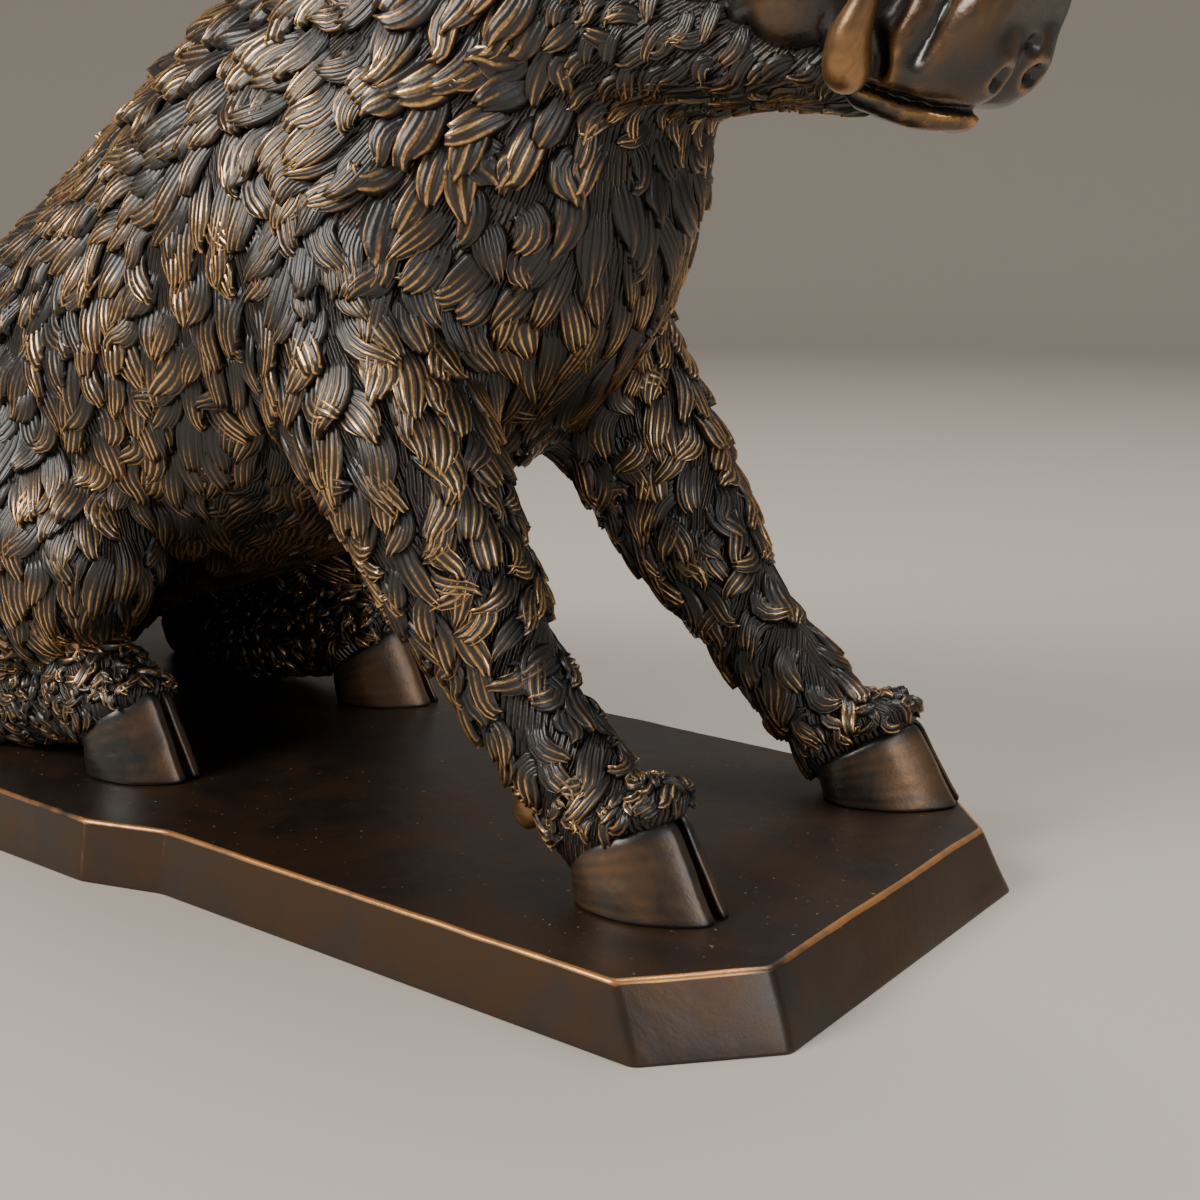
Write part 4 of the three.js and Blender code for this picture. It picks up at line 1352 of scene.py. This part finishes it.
def rounded(corners, radius, spacing):
    """A closed outline with each corner replaced by a parabola that starts and ends a radius away from it,
    and the sides sampled at about the spacing. Also 1 on the corners and 0 on the sides. Every outline of
    the same corners gets the same number of points."""
    reference = plinth_outline(0)
    out, bend = [], []
    for k in range(len(corners)):
        a, b, c = corners[k - 1], corners[k], corners[(k + 1) % len(corners)]
        start = b + (a - b) * radius / np.linalg.norm(a - b)
        end = b + (c - b) * radius / np.linalg.norm(c - b)
        t = np.linspace(0, 1, 9)[:, None]
        out.append((1 - t) ** 2 * start + 2 * t * (1 - t) * b + t**2 * end)
        bend.append(np.sin(np.pi * t[:, 0]))
        far = c + (b - c) * radius / np.linalg.norm(b - c)
        steps = int(np.linalg.norm(reference[k] - reference[(k + 1) % len(reference)]) / spacing) + 2
        out.append(end + (far - end) * np.linspace(0, 1, steps)[1:-1, None])
        bend.append(np.zeros(steps - 2))
    return np.concatenate(out), np.concatenate(bend)


def add_plinth(material):
    """The slab: its outline carried up a profile with a rounded top edge, then drawn in to the middle.
    The edges are a little uneven, as cast and filed by hand."""
    radius = 0.9
    arc = np.linspace(0, np.pi / 2, 7)
    # Height, inset along the outline's normal, share drawn in, and how worn.
    levels = [(0, 0.6, 0.9, 0), (0, 0.6, 0.4, 0), (0, 0.6, 0, 0), (0.2, 0.1, 0, 0.3)]
    levels += [(z, 0, 0, 0) for z in (0.8, 4, 8, 12, 15, TOP - radius - 0.7)]
    levels += [(TOP - radius + radius * math.sin(b), radius * (1 - math.cos(b)), 0, 1) for b in arc]
    levels += [(TOP, radius + 0.4, 0, 0.1)]
    levels += [(TOP, radius + 0.4, s, 0) for s in np.linspace(0.02, 0.97, 12)]
    rings, wear, flank = [], [], []
    for z, inset, shrink, worn in levels:
        line, bend = rounded(plinth_outline(min(z / TOP, 1)), 2, 4.5)
        ahead = unit(np.roll(line, -1, axis=0) - np.roll(line, 1, axis=0))
        line = (line - inset * np.stack([ahead[:, 1], -ahead[:, 0]], axis=1)) * (1 - shrink)
        rings.append(np.column_stack([line, np.full(len(line), z)]))
        # flank marks the sides, which the plinth's material paints lighter as painted light, and keeps free
        # of specks.
        on_side = 1.0 if shrink == 0 and 0 < z < TOP - radius else 0.0
        wear.append(np.maximum(worn, 0.75 * bend * on_side))
        flank.append(np.full(len(line), on_side))
    rings = np.array(rings)
    wave = np.stack([wobble(rings, 33, 41 + k) for k in range(3)], axis=-1) * [0.5, 0.5, 0.22]
    wave += np.stack([wobble(rings, 11, 51 + k) for k in range(3)], axis=-1) * [0.16, 0.16, 0.1]
    rings = rings + wave * ramp(rings[..., 2:3], 0, 6)
    faces = tube_faces(1, rings.shape[0], rings.shape[1])
    flat = tube_points(rings[None])[0]
    wear, flank = (np.append(np.concatenate(values), [0, 0]) for values in (wear, flank))
    return link_mesh("plinth_slab", flat, faces, {"edge": wear, "flank": flank}, material=material)


# ---------------------------------------------------------------- the scene


def add_floor(material):
    """A round pale floor that sweeps up into a wall far behind the object, on every side."""
    around = np.linspace(0, 2 * np.pi, 96, endpoint=False)
    flat = np.linspace(0.02, 1, 12) * 2200
    bend = np.linspace(0, np.pi / 2, 14)[1:]
    radius = np.concatenate([flat, 2200 + 900 * np.sin(bend)])
    height = np.concatenate([0 * flat, 900 * (1 - np.cos(bend))])
    radius, level = radius[:, None], height[:, None] + 0 * around
    rings = np.stack([radius * np.cos(around), radius * np.sin(around), level], axis=-1)
    count = len(around)
    i, j = np.meshgrid(np.arange(len(radius) - 1), np.arange(count), indexing="ij")
    a, b = (i * count + j).ravel(), (i * count + (j + 1) % count).ravel()
    quads = np.stack([a, a + count, b + count, b], axis=1)
    centre = np.array([[0, 0, 0]])
    fan = np.stack([np.full(count, rings.size // 3), np.arange(count), np.roll(np.arange(count), -1)], axis=1)
    points = np.concatenate([rings.reshape(-1, 3), centre])
    floor = link_mesh("floor", points, [quads, fan], material=material)
    floor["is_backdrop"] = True
    return floor


def main():
    add_camera()
    add_lights()
    add_floor(studio_floor())
    coat, under = hair_bronze(), skin_bronze()
    horn = smooth_bronze("hoof_bronze", (0.2, 0.105, 0.045, 1), (0.55, 0.32, 0.14, 1), 0.36, 0)
    face = smooth_bronze("muzzle_bronze", (0.16, 0.082, 0.034, 1), (0.5, 0.28, 0.11, 1), 0.27, 0.3)
    points, _ = skin(body_value, FORM_LOW, FORM_HIGH, 2.6)
    hair, roots, normals = add_hair(points, coat)
    points, quads = skin(body_value, FORM_LOW, FORM_HIGH, 3.4)
    points, normal = settle(points, 1)
    points -= normal * (SUNK * bareness(points))[:, None]
    points[:, 2] = np.maximum(points[:, 2], TOP - 0.2)
    body = link_mesh("body", points, [quads], uv=engraved_lie(points, quads, roots, normals), material=under)
    boar = [body, *hair, add_head(face), *add_eyes(face)]
    boar += [*add_hooves(horn), *add_tusks(horn), *add_dewclaws(horn)]
    boar += [ear_piece(side, face) for side in SIDES]
    boar.append(horn_piece("tail", TAIL, [8, 7, 6.6, 2], face))
    plinth = add_plinth(plinth_bronze())
    for piece in boar:
        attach(piece, ROOT)
    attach(plinth, ROOT)
    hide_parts("boar")
    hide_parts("plinth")


main()
[[list(corner) for corner in box] for box in (CAD_BOX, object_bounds())]
